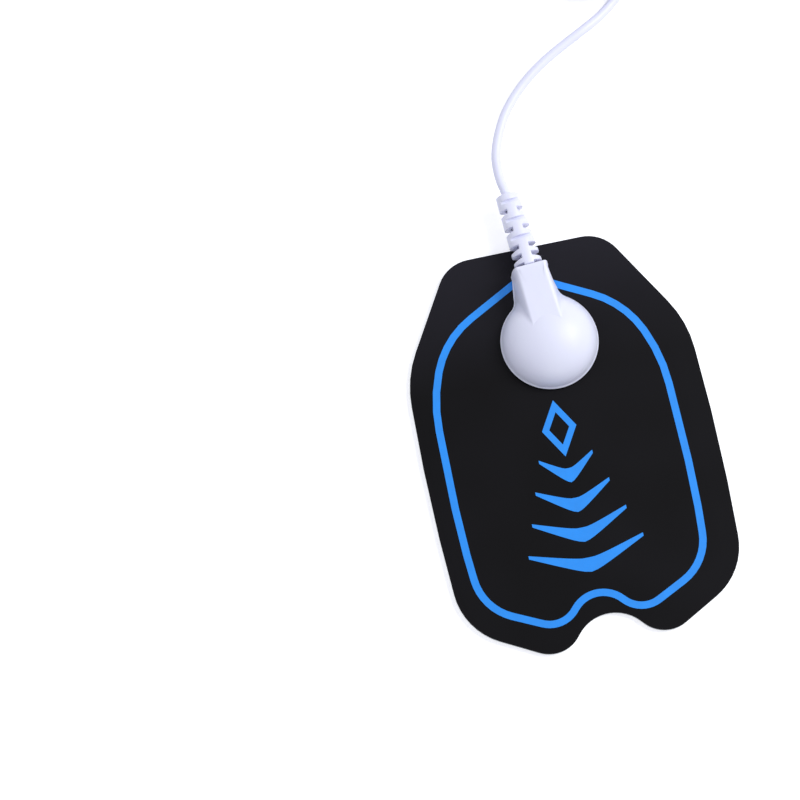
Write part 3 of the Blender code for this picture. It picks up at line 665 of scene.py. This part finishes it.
def soften(piece: bpy.types.Object, width: float, angle: float = EDGE_ANGLE) -> None:
    """Round a piece's edges.

    Args:
        piece: The piece.
        width: The rounding's width in metres.
        angle: The angle in degrees over which an edge is rounded.
    """
    bevel = piece.modifiers.new("soften", "BEVEL")
    bevel.width, bevel.segments = width, EDGE_STEPS
    bevel.limit_method, bevel.angle_limit = "ANGLE", math.radians(angle)
    applied(piece)


def eased(share: float) -> float:
    """A share that starts and ends gently at 0 and 1, and swings back to 0 at 2."""
    return (1 - math.cos(math.pi * share)) / 2


@dataclass(frozen=True)
class LeadAxis:
    """The line on which the lead leaves the connector, and the strain relief's slight bend off it."""

    turn: float = math.radians(3.5)
    bend: float = math.radians(1.1)
    mouth_y: float = 15.25 * MM
    boot_length: float = 16.15 * MM
    z: float = 5.17 * MM

    def at(self, y: float, bent: bool = False) -> Vector:
        """A point on the line, or on the strain relief's line, which bends off it at the mouth.

        Args:
            y: How far along the line it is.
            bent: Whether it is on the strain relief's line.

        Returns:
            The point.
        """
        start, bend = (self.mouth_y, self.bend) if bent else (0.0, 0.0)
        base = Matrix.Rotation(self.turn, 3, "Z") @ Vector((0.0, start, self.z))
        return base + Matrix.Rotation(self.turn + bend, 3, "Z") @ Vector((0.0, y - start, 0.0))


AXIS = LeadAxis()


# The pad


@dataclass
class ElectrodePad:
    """The die-cut stack of gel, films and print, with the snap stud near one edge."""

    gel_thickness: float = 1.0 * MM
    width: float = 60.0 * MM
    length: float = 84.0 * MM
    outline_shift: float = -0.8 * MM
    pocket_radius: float = 3.8 * MM
    pocket_depth: float = 0.3 * MM
    pocket_steps: int = 64
    shares: tuple[Triple, ...] = (
        (0.547, 0.245, 7.8 * MM), (0.987, -0.019, 22.7 * MM), (1.01, -0.336, 220.0 * MM),
        (0.973, -0.655, 13.5 * MM), (0.343, -0.776, 6.8 * MM), (0.0, -0.631, 8.3 * MM),
    )
    edge_rings: tuple[Point, ...] = (
        (0.42 * MM, 0.0), (0.2 * MM, 0.04 * MM), (0.06 * MM, 0.16 * MM), (0.0, 0.42 * MM),
        (0.02 * MM, 0.72 * MM), (0.1 * MM, 0.93 * MM), (0.14 * MM, 1.0 * MM),
    )

    def build(self) -> None:
        """Make the gel and dress every node of the pad."""
        dress_piece(self.gel(), Slot.GEL, Body.PAD, "gel_pad")
        dress_node("conductive_film", Slot.CARBON)
        dress_node("cover_film", Slot.FILM)
        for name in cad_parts:
            if name == "contour_stripe" or name.startswith("print_"):
                dress_node(name, Slot.INK)
        for name in ("snap_stud", "snap_eyelet"):
            dress_node(name, Slot.STEEL)

    def outline(self) -> list[Point]:
        """The die-cut outline.

        Returns:
            Its points.
        """
        corners = [(x * self.width / 2, y * self.length, radius) for x, y, radius in self.shares]
        corners += [(-x, y, radius) for x, y, radius in reversed(corners) if x > 0]
        shifted = [(x + self.outline_shift, y, radius) for x, y, radius in corners]
        return rounded(shifted)

    def gel(self) -> bpy.types.Object:
        """The soft gel slab, whose cut edge bulges and rolls under, with the eyelet's seat.

        Returns:
            The slab.
        """
        outline = self.outline()
        rings = [flat(drawn_in(outline, inset), z) for inset, z in self.edge_rings]
        slab = link_mesh("hydrogel_slab", loft(rings))
        seat = arc(self.pocket_radius, [math.tau * i / self.pocket_steps for i in range(self.pocket_steps)])
        top = self.gel_thickness
        pocket = loft([flat(seat, top - self.pocket_depth), flat(seat, top + self.pocket_depth)])
        cut(slab, [link_mesh("seat_cutter", pocket)])
        return slab


# The connector


@dataclass
class SnapConnector:
    """The moulded dome and neck that hold the snap socket, with the base, the crimp and the ring spring."""

    foot: float = 1.82 * MM
    dome_radius: float = 9.9 * MM
    dome_height: float = 7.4 * MM
    rim_proud: float = 0.25 * MM
    rim_height: float = 0.45 * MM
    wall: float = 0.7 * MM
    neck_height: float = 6.8 * MM
    neck_top_half: float = 2.8 * MM
    neck_root_half: float = 4.45 * MM
    neck_mouth_half: float = 3.7 * MM
    fillet: float = 3.2 * MM
    tongue_fillet: float = 1.5 * MM
    mouth_top_half: float = 2.45 * MM
    mouth_square: float = 3.0
    lip: float = 0.15 * MM
    lip_length: float = 0.45 * MM
    end_wall: float = 1.0 * MM
    cable_height: float = 3.35 * MM
    slot_radius: float = 2.2 * MM
    overrun: float = 0.3 * MM
    edge: float = 0.1 * MM
    fillet_steps: int = 14
    arc_steps: int = 44
    mouth_steps: int = 32
    levels: int = 22
    roof_shares: tuple[float, ...] = (0.03, 0.3, 0.7, 0.97)
    rim_side: tuple[Point, ...] = (
        (0.6, 0.0), (0.85, 0.14), (0.85, 0.4), (0.6, 0.66), (0.25, 0.86), (0.0, 1.0),
    )

    def build(self) -> None:
        """Make the fine shell and dress the nodes inside it."""
        dress_piece(self.shell(), Slot.PLASTIC, Body.LEAD, "connector_cap")
        dress_node("connector_base", Slot.PLASTIC)
        dress_node("snap_socket", Slot.BRASS)
        dress_node("crimp_terminal", Slot.BRASS)
        dress_node("conductor", Slot.COPPER)
        dress_node("ring_spring", Slot.STEEL)

    def radius_at(self, height: float, inset: float) -> float:
        """The dome's radius at a height over its foot."""
        share = min(1.0, height / (self.dome_height - inset))
        return (self.dome_radius - inset) * math.sqrt(1 - share**2)

    def plan(self, height: float, inset: float, mouth_y: float, lip: float) -> tuple[list[Point], float]:
        """The right half of the plan of dome and neck at a height.

        Args:
            height: The height over the connector's foot.
            inset: How far the plan is drawn in.
            mouth_y: Where the neck ends.
            lip: How far the mouth's lip stands out.

        Returns:
            The points from the mouth's middle to the dome's far point, and the angle at which the neck's
            fillet meets the dome.
        """
        share = min(1.0, height / (self.neck_height - inset))
        shoulder = math.sqrt(1 - share**2)
        square = (1 - share**self.mouth_square) ** (1 / self.mouth_square)
        radius = self.radius_at(height, inset)
        root = self.neck_top_half + (self.neck_root_half - self.neck_top_half) * shoulder - inset
        mouth = self.mouth_top_half + (self.neck_mouth_half - self.mouth_top_half) * square - inset
        fillet = self.fillet + (self.tongue_fillet - self.fillet) * share + inset
        centre = (root + fillet, math.sqrt((radius + fillet) ** 2 - (root + fillet) ** 2))
        meet = math.atan2(centre[1], centre[0])
        points = [(0.0, mouth_y), (mouth + lip, mouth_y), (mouth + lip, mouth_y - self.lip_length)]
        points.append((mouth, mouth_y - 2 * self.lip_length))
        angles = [math.pi + meet * i / self.fillet_steps for i in range(self.fillet_steps + 1)]
        return points + arc(fillet, angles, centre) + self.far_arc(radius, meet), meet

    def far_arc(self, radius: float, meet: float) -> list[Point]:
        """The dome's circle from where the fillet meets it to its far point."""
        steps = self.arc_steps
        return arc(radius, [meet - (meet + math.pi / 2) * i / steps for i in range(1, steps + 1)])

    def over_neck(self, height: float, inset: float, meet: float) -> list[Point]:
        """The dome's circle above the neck, with as many points as the plan below has.

        Args:
            height: The height over the connector's foot.
            inset: How far the circle is drawn in.
            meet: The angle at which the neck's fillet meets the dome.

        Returns:
            The right half's points.
        """
        radius = self.radius_at(height, inset)
        count = self.fillet_steps + 4
        angles = [math.pi / 2 - (math.pi / 2 - meet) * i / count for i in range(count + 1)]
        return arc(radius, angles) + self.far_arc(radius, meet)

    @staticmethod
    def whole(right: Sequence[Point]) -> list[Point]:
        """Both sides of a plan, from its right half."""
        side = right[1:-1]
        return [(0.0, right[0][1]), *side, (0.0, right[-1][1]), *((-x, y) for x, y in reversed(side))]

    def rings(self, inset: float, mouth_y: float, lip: float) -> list[list[tuple]]:
        """One side of the shell from its foot to the dome's top.

        Args:
            inset: How far it is drawn in.
            mouth_y: Where the neck ends.
            lip: How far the mouth's lip stands out.

        Returns:
            The rings, from the foot up.
        """
        neck_top, dome_top, levels = self.neck_height - inset, self.dome_height - inset, self.levels
        found = []
        for i in range(levels + 1):
            height = neck_top if i == levels else neck_top * math.sin(math.pi / 2 * i / levels)
            found.append(flat(self.whole(self.plan(height, inset, mouth_y, lip)[0]), self.foot + height))
        meet = self.plan(neck_top, inset, mouth_y, lip)[1]
        neck, dome = found[-1], flat(self.whole(self.over_neck(neck_top, inset, meet)), self.foot + neck_top)
        for share in self.roof_shares:
            found.append([tuple(Vector(a).lerp(Vector(b), share)) for a, b in zip(neck, dome)])
        first = math.asin(neck_top / dome_top)
        for i in range(levels // 2 + 1):
            angle = first + (math.pi / 2 - first) * 2 * i / levels
            height = neck_top if i == 0 else dome_top * math.sin(angle)
            found.append(flat(self.whole(self.over_neck(height, inset, meet)), self.foot + height))
        return found

    def shell(self) -> bpy.types.Object:
        """The dome, neck and rim as one thin-walled moulding with its mouth.

        Returns:
            The shell.
        """
        outer = self.rings(0.0, AXIS.mouth_y, self.lip)
        inner = self.rings(self.wall, AXIS.mouth_y - self.end_wall, 0.0)
        rim = []
        for share, level in self.rim_side:
            height, lip = level * self.rim_height, self.lip * (1 - share)
            plan = self.plan(height, -self.rim_proud * share, AXIS.mouth_y, lip)
            rim.append(flat(self.whole(plan[0]), self.foot + height))
        above = [ring for ring in outer if ring[0][2] > self.foot + self.rim_height]
        shell = link_mesh("connector_shell", loft(above[::-1] + rim[::-1] + inner))
        cut(shell, [self.mouth()])
        soften(shell, self.edge)
        shell.data.transform(Matrix.Rotation(AXIS.turn, 4, "Z"))
        return shell

    def mouth(self) -> bpy.types.Object:
        """The helper that cuts the mouth: an arch over the strain relief, open below.

        Returns:
            The helper.
        """
        radius, low = self.slot_radius, self.foot - self.rim_height
        angles = [math.pi * i / self.mouth_steps for i in range(self.mouth_steps + 1)]
        arch = arc(radius, angles, (0.0, self.foot + self.cable_height)) + [(-radius, low), (radius, low)]
        ends = (AXIS.mouth_y - self.end_wall - self.overrun, AXIS.mouth_y + self.overrun)
        return link_mesh("mouth_cutter", loft([[(x, y, z) for x, z in arch] for y in ends]))


@dataclass
class StrainRelief:
    """The slotted boot between the connector's mouth and the cable."""

    root_radius: float = 2.95 * MM
    end_radius: float = 2.4 * MM
    groove_radius: float = 1.9 * MM
    collar_radius: float = 2.4 * MM
    collar_length: float = 1.2 * MM
    end_wall: float = 1.0 * MM
    gap: float = 0.3 * MM
    bore: float = 1.3 * MM
    edge: float = 0.3 * MM
    slot_pitch: float = 2.0 * MM
    first_slot: float = 1.75 * MM
    side_slots: tuple[int, ...] = (1, 3, 5, 6, 7)
    top_slots: tuple[int, ...] = (0, 2, 4)
    slot_width: float = 0.9 * MM
    top_width: float = 0.65 * MM
    side_floor: float = 1.0 * MM
    top_floor: float = 1.6 * MM
    flares: Point = (0.5 * MM, 0.25 * MM)
    root_edge: float = 0.15 * MM
    slot_edge: float = 0.09 * MM
    slot_angle: float = 45.0
    edge_steps: int = 6
    steps: int = 72

    def build(self) -> None:
        """Make the boot."""
        dress_piece(self.boot(), Slot.PLASTIC, Body.LEAD, "strain_relief")

    def profile(self) -> list[Point]:
        """The boot's half section: collar, groove, tapered body and rounded free end.

        Returns:
            Radius and place along the boot of each point.
        """
        inner = -self.end_wall - self.gap
        angles = [math.pi / 2 * i / self.edge_steps for i in range(self.edge_steps + 1)]
        end = arc(self.edge, angles, (self.end_radius - self.edge, AXIS.boot_length - self.edge))
        return [
            (self.bore, inner - self.collar_length),
            (self.collar_radius, inner - self.collar_length),
            (self.collar_radius, inner),
            (self.groove_radius, inner),
            (self.groove_radius, self.gap),
            (self.root_radius - self.root_edge, self.gap),
            (self.root_radius, self.gap + self.root_edge),
            *end,
            (self.bore, AXIS.boot_length),
        ]

    def slots(self) -> list[bpy.types.Object]:
        """The helpers that cut the slots, one from each side for each slot.

        Returns:
            The helpers.
        """
        rows = ((0, self.side_slots, self.side_floor), (1, self.top_slots, self.top_floor))
        each = [(place, floor, across) for across, row, floor in rows for place in row]
        return [self.block(place, floor, side, across) for place, floor, across in each for side in (-1, 1)]

    def block(self, place: int, floor: float, side: int, across: int) -> bpy.types.Object:
        """A block that cuts one slot from one side, flared towards the mouth at the surface.

        Args:
            place: The slot's place in the row, from the free end.
            floor: How near the axis it reaches.
            side: The side, -1 or 1.
            across: 0 for a slot in the boot's side, 1 for one in its top or underside.

        Returns:
            The helper.
        """
        reach = self.root_radius + self.gap
        width = (self.slot_width, self.top_width)[across]
        middle = AXIS.boot_length - self.first_slot - place * self.slot_pitch
        rings = []
        for depth, flare in ((floor, 0.0), (reach, self.flares[across])):
            low, high = middle - width / 2 - flare, middle + width / 2
            if middle - width / 2 < self.gap * 2:
                low = 0.0
            ring = [(side * depth, -reach, low), (side * depth, reach, low)]
            ring += [(side * depth, reach, high), (side * depth, -reach, high)]
            rings.append([(y, x, z) for x, y, z in ring] if across else ring)
        return link_mesh(f"slot_{place}", loft(rings))

    def boot(self) -> bpy.types.Object:
        """The slotted boot, laid along the lead.

        Returns:
            The boot.
        """
        boot = link_mesh("slotted_boot", turned(self.profile(), self.steps))
        cut(boot, self.slots())
        soften(boot, self.slot_edge, self.slot_angle)
        lay = Matrix.Rotation(-math.pi / 2, 4, "X")
        bent = Matrix.Rotation(AXIS.bend, 4, "Z") @ lay
        place = Matrix.Translation((0.0, AXIS.mouth_y, AXIS.z))
        boot.data.transform(Matrix.Rotation(AXIS.turn, 4, "Z") @ place @ bent)
        return boot


# The cable


@dataclass
class LeadCable:
    """The cable from the crimp to the plug, wound out of view into a tied coil."""

    radius: float = 1.0 * MM
    start_y: float = 9.3 * MM
    route_in_mm: tuple[Triple, ...] = (
        (-2.75, 34.4, 5.1), (-2.85, 37.5, 4.9), (-2.4, 40.8, 4.65), (-0.8, 45.1, 4.15), (1.6, 49.4, 3.6),
        (4.9, 53.3, 3.2), (8.5, 56.5, 2.95), (12.4, 59.2, 2.8), (16.7, 61.6, 2.75), (21.2, 63.9, 2.65),
        (25.8, 66.6, 1.9),
    )
    centre: Point = (27.0 * MM, 87.0 * MM)
    inner_turn: float = 7.1 * MM
    pitch: float = 2.05 * MM
    coil_z: float = 0.4 * MM
    entry_gap: float = 0.3 * MM
    turn_step: float = 12.0
    spacing: float = 1.2 * MM
    winding: tuple[Point, ...] = (
        (4, 0), (3, 0), (2, 0), (1, 0), (0, 0), (0, 1), (0, 2), (1, 2),
        (1, 1), (2, 1), (2, 2), (3, 2), (3, 1), (4, 1), (4, 2),
    )
    entry_angle: float = -52.0
    leave_angle: float = 99.0
    first_shift: float = 220.0
    shift_lag: float = 20.0
    shift_span: float = 80.0
    tail_length: float = 27.0 * MM
    tail_start: float = 9.0 * MM
    tail_level: float = 13.0 * MM
    tail_dip: float = 0.3 * MM
    plug_radius: float = 3.0 * MM
    plug_length: float = 19.0 * MM
    plug_rear_radius: float = 1.9 * MM
    plug_rear_length: float = 5.0 * MM
    plug_sleeve: float = 4.0 * MM
    plug_gap: float = 0.3 * MM
    bore_gap: float = 0.05 * MM
    bore_floor: float = 0.4 * MM
    nose: float = 0.3
    plug_waist: float = 0.35 * MM
    plug_grips: int = 4
    grips_from_rear: float = 1.5 * MM
    grips_from_front: float = 2.5 * MM
    grip_steps: int = 12
    plug_steps: int = 64
    tie_width: float = 4.0 * MM
    tie_wall: float = 0.4 * MM
    tie_gap: float = 0.08 * MM
    tie_lean: float = 0.41
    tie_edge: float = 0.08 * MM
    tie_step: float = 15.0
    length: float = 1.05
    tube_rounding: int = 4

    def build(self) -> None:
        cord = self.tube("lead_cable", self.centreline())
        dress_piece(cord, Slot.JACKET, Body.LEAD, "lead_cord", "lead_coil", "lead_tail")
        tie = dress_piece(self.tie(), Slot.TIE, Body.LEAD, "coil_tie")
        plug = dress_piece(self.plug(), Slot.PLASTIC, Body.LEAD, "plug_body")
        pin = dress_node("plug_pin", Slot.STEEL)

    def place(self, degrees: float, radius: float, z: float) -> Vector:
        """A point on the coil."""
        return Vector((*arc(radius, [math.radians(degrees)], self.centre)[0], z))

    def cell(self, degrees: float) -> Point:
        """Where in the winding the cable is after an angle, as it shifts from place to place.

        Args:
            degrees: The angle.

        Returns:
            The column and the layer.
        """
        column, layer = self.winding[0]
        for i, (after, before) in enumerate(zip(self.winding[1:], self.winding)):
            start = self.first_shift + i * (360.0 - self.shift_lag)
            done = min(1.0, max(0.0, (degrees - start) / self.shift_span))
            column += (after[0] - before[0]) * eased(done)
            layer += (after[1] - before[1]) * eased(done)
        return column, layer

    def wound(self) -> list[Vector]:
        """The coil's turns, from where the cable runs in to where it leaves.

        Returns:
            Points every few degrees.
        """
        shifts = len(self.winding) - 1
        last = self.first_shift + (shifts - 1) * (360.0 - self.shift_lag) + self.shift_span
        end = self.leave_angle + 360.0 * math.ceil((last - self.leave_angle) / 360.0)
        steps = round((end - self.entry_angle) / self.turn_step)
        found = []
        for i in range(steps + 1):
            degrees = self.entry_angle + (end - self.entry_angle) * i / steps
            column, layer = self.cell(degrees)
            radius = self.inner_turn + column * self.pitch
            found.append(self.place(degrees, radius, self.coil_z + self.radius + layer * self.pitch))
        return found

    def widest(self) -> float:
        """The radius of the coil's outer turns."""
        return self.inner_turn + max(column for column, _ in self.winding) * self.pitch

    @staticmethod
    def heading(degrees: float) -> Vector:
        """The direction of an anticlockwise turn at an angle."""
        return Vector((-math.sin(math.radians(degrees)), math.cos(math.radians(degrees)), 0.0))

    def centreline(self) -> list[Vector]:
        """The whole cable from the crimp to the plug.

        Returns:
            Its points.
        """
        turns = self.wound()
        outer = self.widest()
        clear = math.sqrt((outer + self.pitch / 2 + self.entry_gap) ** 2 - (outer - self.radius) ** 2)
        near = turns[0] - self.heading(self.entry_angle) * clear
        boot_end = AXIS.mouth_y + AXIS.boot_length
        run_in = [AXIS.at(y) for y in (self.start_y, (self.start_y + AXIS.mouth_y) / 2)]
        run_in += [AXIS.at(y, bent=True) for y in (AXIS.mouth_y, (AXIS.mouth_y + boot_end) / 2, boot_end)]
        run_in += [*(Vector(point) * MM for point in self.route_in_mm), near, (near + turns[0]) / 2]
        leave, top, level = self.heading(self.leave_angle), turns[-1].z, self.plug_radius
        tail = (
            (self.tail_start, top),
            (self.tail_level, top - self.tail_dip),
            ((self.tail_level + self.tail_length) / 2, (top + level) / 2),
            (self.tail_length - 2 * self.radius, level),
            (self.tail_length, level),
        )
        run_out = [Vector((*(turns[-1] + leave * far).xy, z)) for far, z in tail]
        return smooth_path([*run_in, *turns, *run_out], self.spacing)

    def tube(self, name: str, points: Sequence[Vector]) -> bpy.types.Object:
        """A round cable along points.

        Args:
            name: The piece's name.
            points: Its centreline.

        Returns:
            The cable.
        """
        data = bpy.data.curves.new(name, "CURVE")
        data.dimensions = "3D"
        data.bevel_depth = self.radius
        data.bevel_resolution = self.tube_rounding
        data.use_fill_caps = True
        spline = data.splines.new("POLY")
        spline.points.add(len(points) - 1)
        for control, point in zip(spline.points, points):
            control.co = (*point, 1.0)
        spline.use_smooth = True
        return placed(name, data)

    def plug(self) -> bpy.types.Object:
        """The plug's moulded grip: a slim rear sleeve, a swelling and four waists, all softly rounded.

        Returns:
            The grip, at the end of the tail.
        """
        start, end = self.plug_rear_length + self.grips_from_rear, self.plug_length - self.grips_from_front
        pitch, steps, length = (end - start) / self.plug_grips, self.grip_steps, self.plug_length
        full, rear, waist, sleeve = self.plug_radius, self.plug_rear_radius, self.plug_waist, self.plug_sleeve
        bore = self.radius + self.bore_gap
        side = [(bore, 0.0), (rear, 0.0), (rear, sleeve)]
        for i in range(1, steps + 1):
            side.append((rear + (full - rear) * eased(i / steps), sleeve + (start - sleeve) * i / steps))
        for i in range(self.plug_grips * steps):
            side.append((full - waist * eased(2 * (i + 0.5) / steps), start + pitch * (i + 0.5) / steps))
        side += [(full, end), (full, length - waist), (full - waist * self.nose, length - waist * self.nose)]
        side += [(full - waist, length), (0.0, length), (0.0, self.bore_floor), (bore, self.bore_floor)]
        grip = link_mesh("pin_plug_grip", turned(side, self.plug_steps), EDGE_ANGLE)
        leave = self.heading(self.leave_angle)
        foot = self.wound()[-1] + leave * (self.tail_length + self.plug_gap)
        turned_to = leave.to_track_quat("Z", "Y").to_matrix().to_4x4()
        grip.data.transform(Matrix.Translation((foot.x, foot.y, self.plug_radius)) @ turned_to)
        return grip

    def tie(self) -> bpy.types.Object:
        """The soft band round the coil's section, slanted over the corner that no turn fills.

        Returns:
            The band.
        """
        clear, step = self.radius + self.tie_gap, self.pitch
        inner_side = math.sqrt((self.inner_turn - self.radius) ** 2 - (self.tie_width / 2) ** 2)
        outer = self.centre[0] - self.widest()
        near, far = outer - clear, self.centre[0] - inner_side + self.tie_gap
        low, middle = self.coil_z, self.coil_z + self.radius + step
        high, slant = middle + step + clear, math.sqrt(2) * clear
        box = [(near, low, -1, -1), (far, low, 1, -1), (far, high, 1, 1)]
        box += [(outer + step + clear - slant, high, -self.tie_lean, 1)]
        box += [(near, middle + slant - clear, -1, self.tie_lean)]
        loops = []
        for out, side in ((self.tie_wall, -1), (self.tie_wall, 1), (0.0, 1), (0.0, -1)):
            corners = [(x + sx * out, z + sz * out, self.radius + out) for x, z, sx, sz in box]
            y = self.centre[1] + side * self.tie_width / 2
            loops.append([(x, y, z) for x, z in rounded(corners, self.tie_step)])
        band = link_mesh("coil_band", loft(loops, closed=True))
        soften(band, self.tie_edge)
        return band


# The studio


@dataclass
class Studio:
    """The pale table, the soft light and the camera at the photograph's angle."""

    azimuth: float = -12.0
    elevation: float = 77.0
    distance: float = 0.7
    seen_width: float = 163.9 * MM
    middle: Triple = (-32.6 * MM, -5.6 * MM, 1.3 * MM)
    sensor: float = 36.0
    world_light: float = 0.64
    world_tint: Color = (0.93, 0.95, 1.06)
    key_power: float = 3.7
    key_tint: Color = (0.96, 0.975, 1.0)
    key_place: Triple = (0.52, 0.11, 0.63)
    key_size: float = 0.36
    clip: Point = (0.01, 10.0)
    table_size: float = 3.0
    table_drop: float = 0.03 * MM
    table_color: Color = (0.9, 0.9, 0.91)
    table_roughness: float = 0.9
    table_glow: float = 0.46

    def build(self) -> None:
        """Set up everything round the object."""
        self.camera()
        self.table()
        self.world()
        self.lamp()
        bpy.context.scene.view_settings.view_transform = "Standard"

    def axes(self) -> Matrix:
        """The camera's right, up and back directions.

        Returns:
            Them as columns.
        """
        a, e = math.radians(self.azimuth), math.radians(self.elevation)
        back = Vector((math.sin(a) * math.cos(e), -math.cos(a) * math.cos(e), math.sin(e)))
        right = Vector((math.cos(a), math.sin(a), 0.0))
        return Matrix((right, back.cross(right), back)).transposed()

    def camera(self) -> None:
        """Place the camera."""
        data = bpy.data.cameras.new("photo_camera")
        data.sensor_width, data.lens = self.sensor, self.sensor * self.distance / self.seen_width
        data.clip_start, data.clip_end = self.clip
        axes = self.axes()
        place = Vector(self.middle) + axes.col[2] * self.distance
        camera = placed("photo_camera", data)
        camera.matrix_world = Matrix.Translation(place) @ axes.to_4x4()
        bpy.context.scene.camera = camera

    def table(self) -> None:
        """The white table that the pad lies on, plain white to the camera apart from shadows."""
        form = bmesh.new()
        bmesh.ops.create_grid(form, x_segments=1, y_segments=1, size=self.table_size)
        table = link_mesh("table", form)
        table.location.z = -self.table_drop
        recipe = Recipe("table_white")
        recipe.set(base_color=self.table_color, roughness=self.table_roughness)
        glow = recipe.node("ShaderNodeEmission", sockets={"Color": WHITE, "Strength": self.table_glow})
        surface = Socket(recipe, recipe.shader.outputs[0])
        lifted = recipe.node("ShaderNodeAddShader", sockets={0: surface, 1: glow})
        chosen = recipe.node("ShaderNodeMixShader", sockets={0: recipe.seen(), 1: surface, 2: lifted})
        recipe.feed(recipe.tree.nodes["Material Output"].inputs["Surface"], chosen)
        table.data.materials.append(recipe.material)

    def world(self) -> None:
        """The even room light, plain white to the camera and in reflections."""
        world = bpy.data.worlds.new("room")
        bpy.context.scene.world = world
        world.use_nodes = True
        kit = NodeKit(world.node_tree)
        backdrop = kit.tree.nodes["Background"]
        kit.feed(backdrop.inputs["Color"], (*self.world_tint, 1.0))
        kit.feed(backdrop.inputs["Strength"], self.world_light)
        lit = Socket(kit, backdrop.outputs[0])
        shown = kit.node("ShaderNodeBackground", sockets={"Color": WHITE})
        chosen = kit.node("ShaderNodeMixShader", sockets={0: kit.seen(), 1: lit, 2: shown})
        kit.feed(kit.tree.nodes["World Output"].inputs["Surface"], chosen)

    def lamp(self) -> None:
        """The soft square key light, which faces the object."""
        data = bpy.data.lights.new("key_light", "AREA")
        data.energy, data.size, data.color = self.key_power, self.key_size, self.key_tint
        lamp = placed("key_light", data)
        lamp.location = self.key_place
        lamp.rotation_euler = Vector(self.key_place).to_track_quat("Z", "Y").to_euler()


def main() -> None:
    """Build the scene."""
    logging.basicConfig(level=logging.INFO, format="%(message)s")
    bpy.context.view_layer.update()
    for maker in (Studio(), LeadCable(), ElectrodePad(), SnapConnector(), StrainRelief()):
        maker.build()


if __name__ == "__main__":
    main()
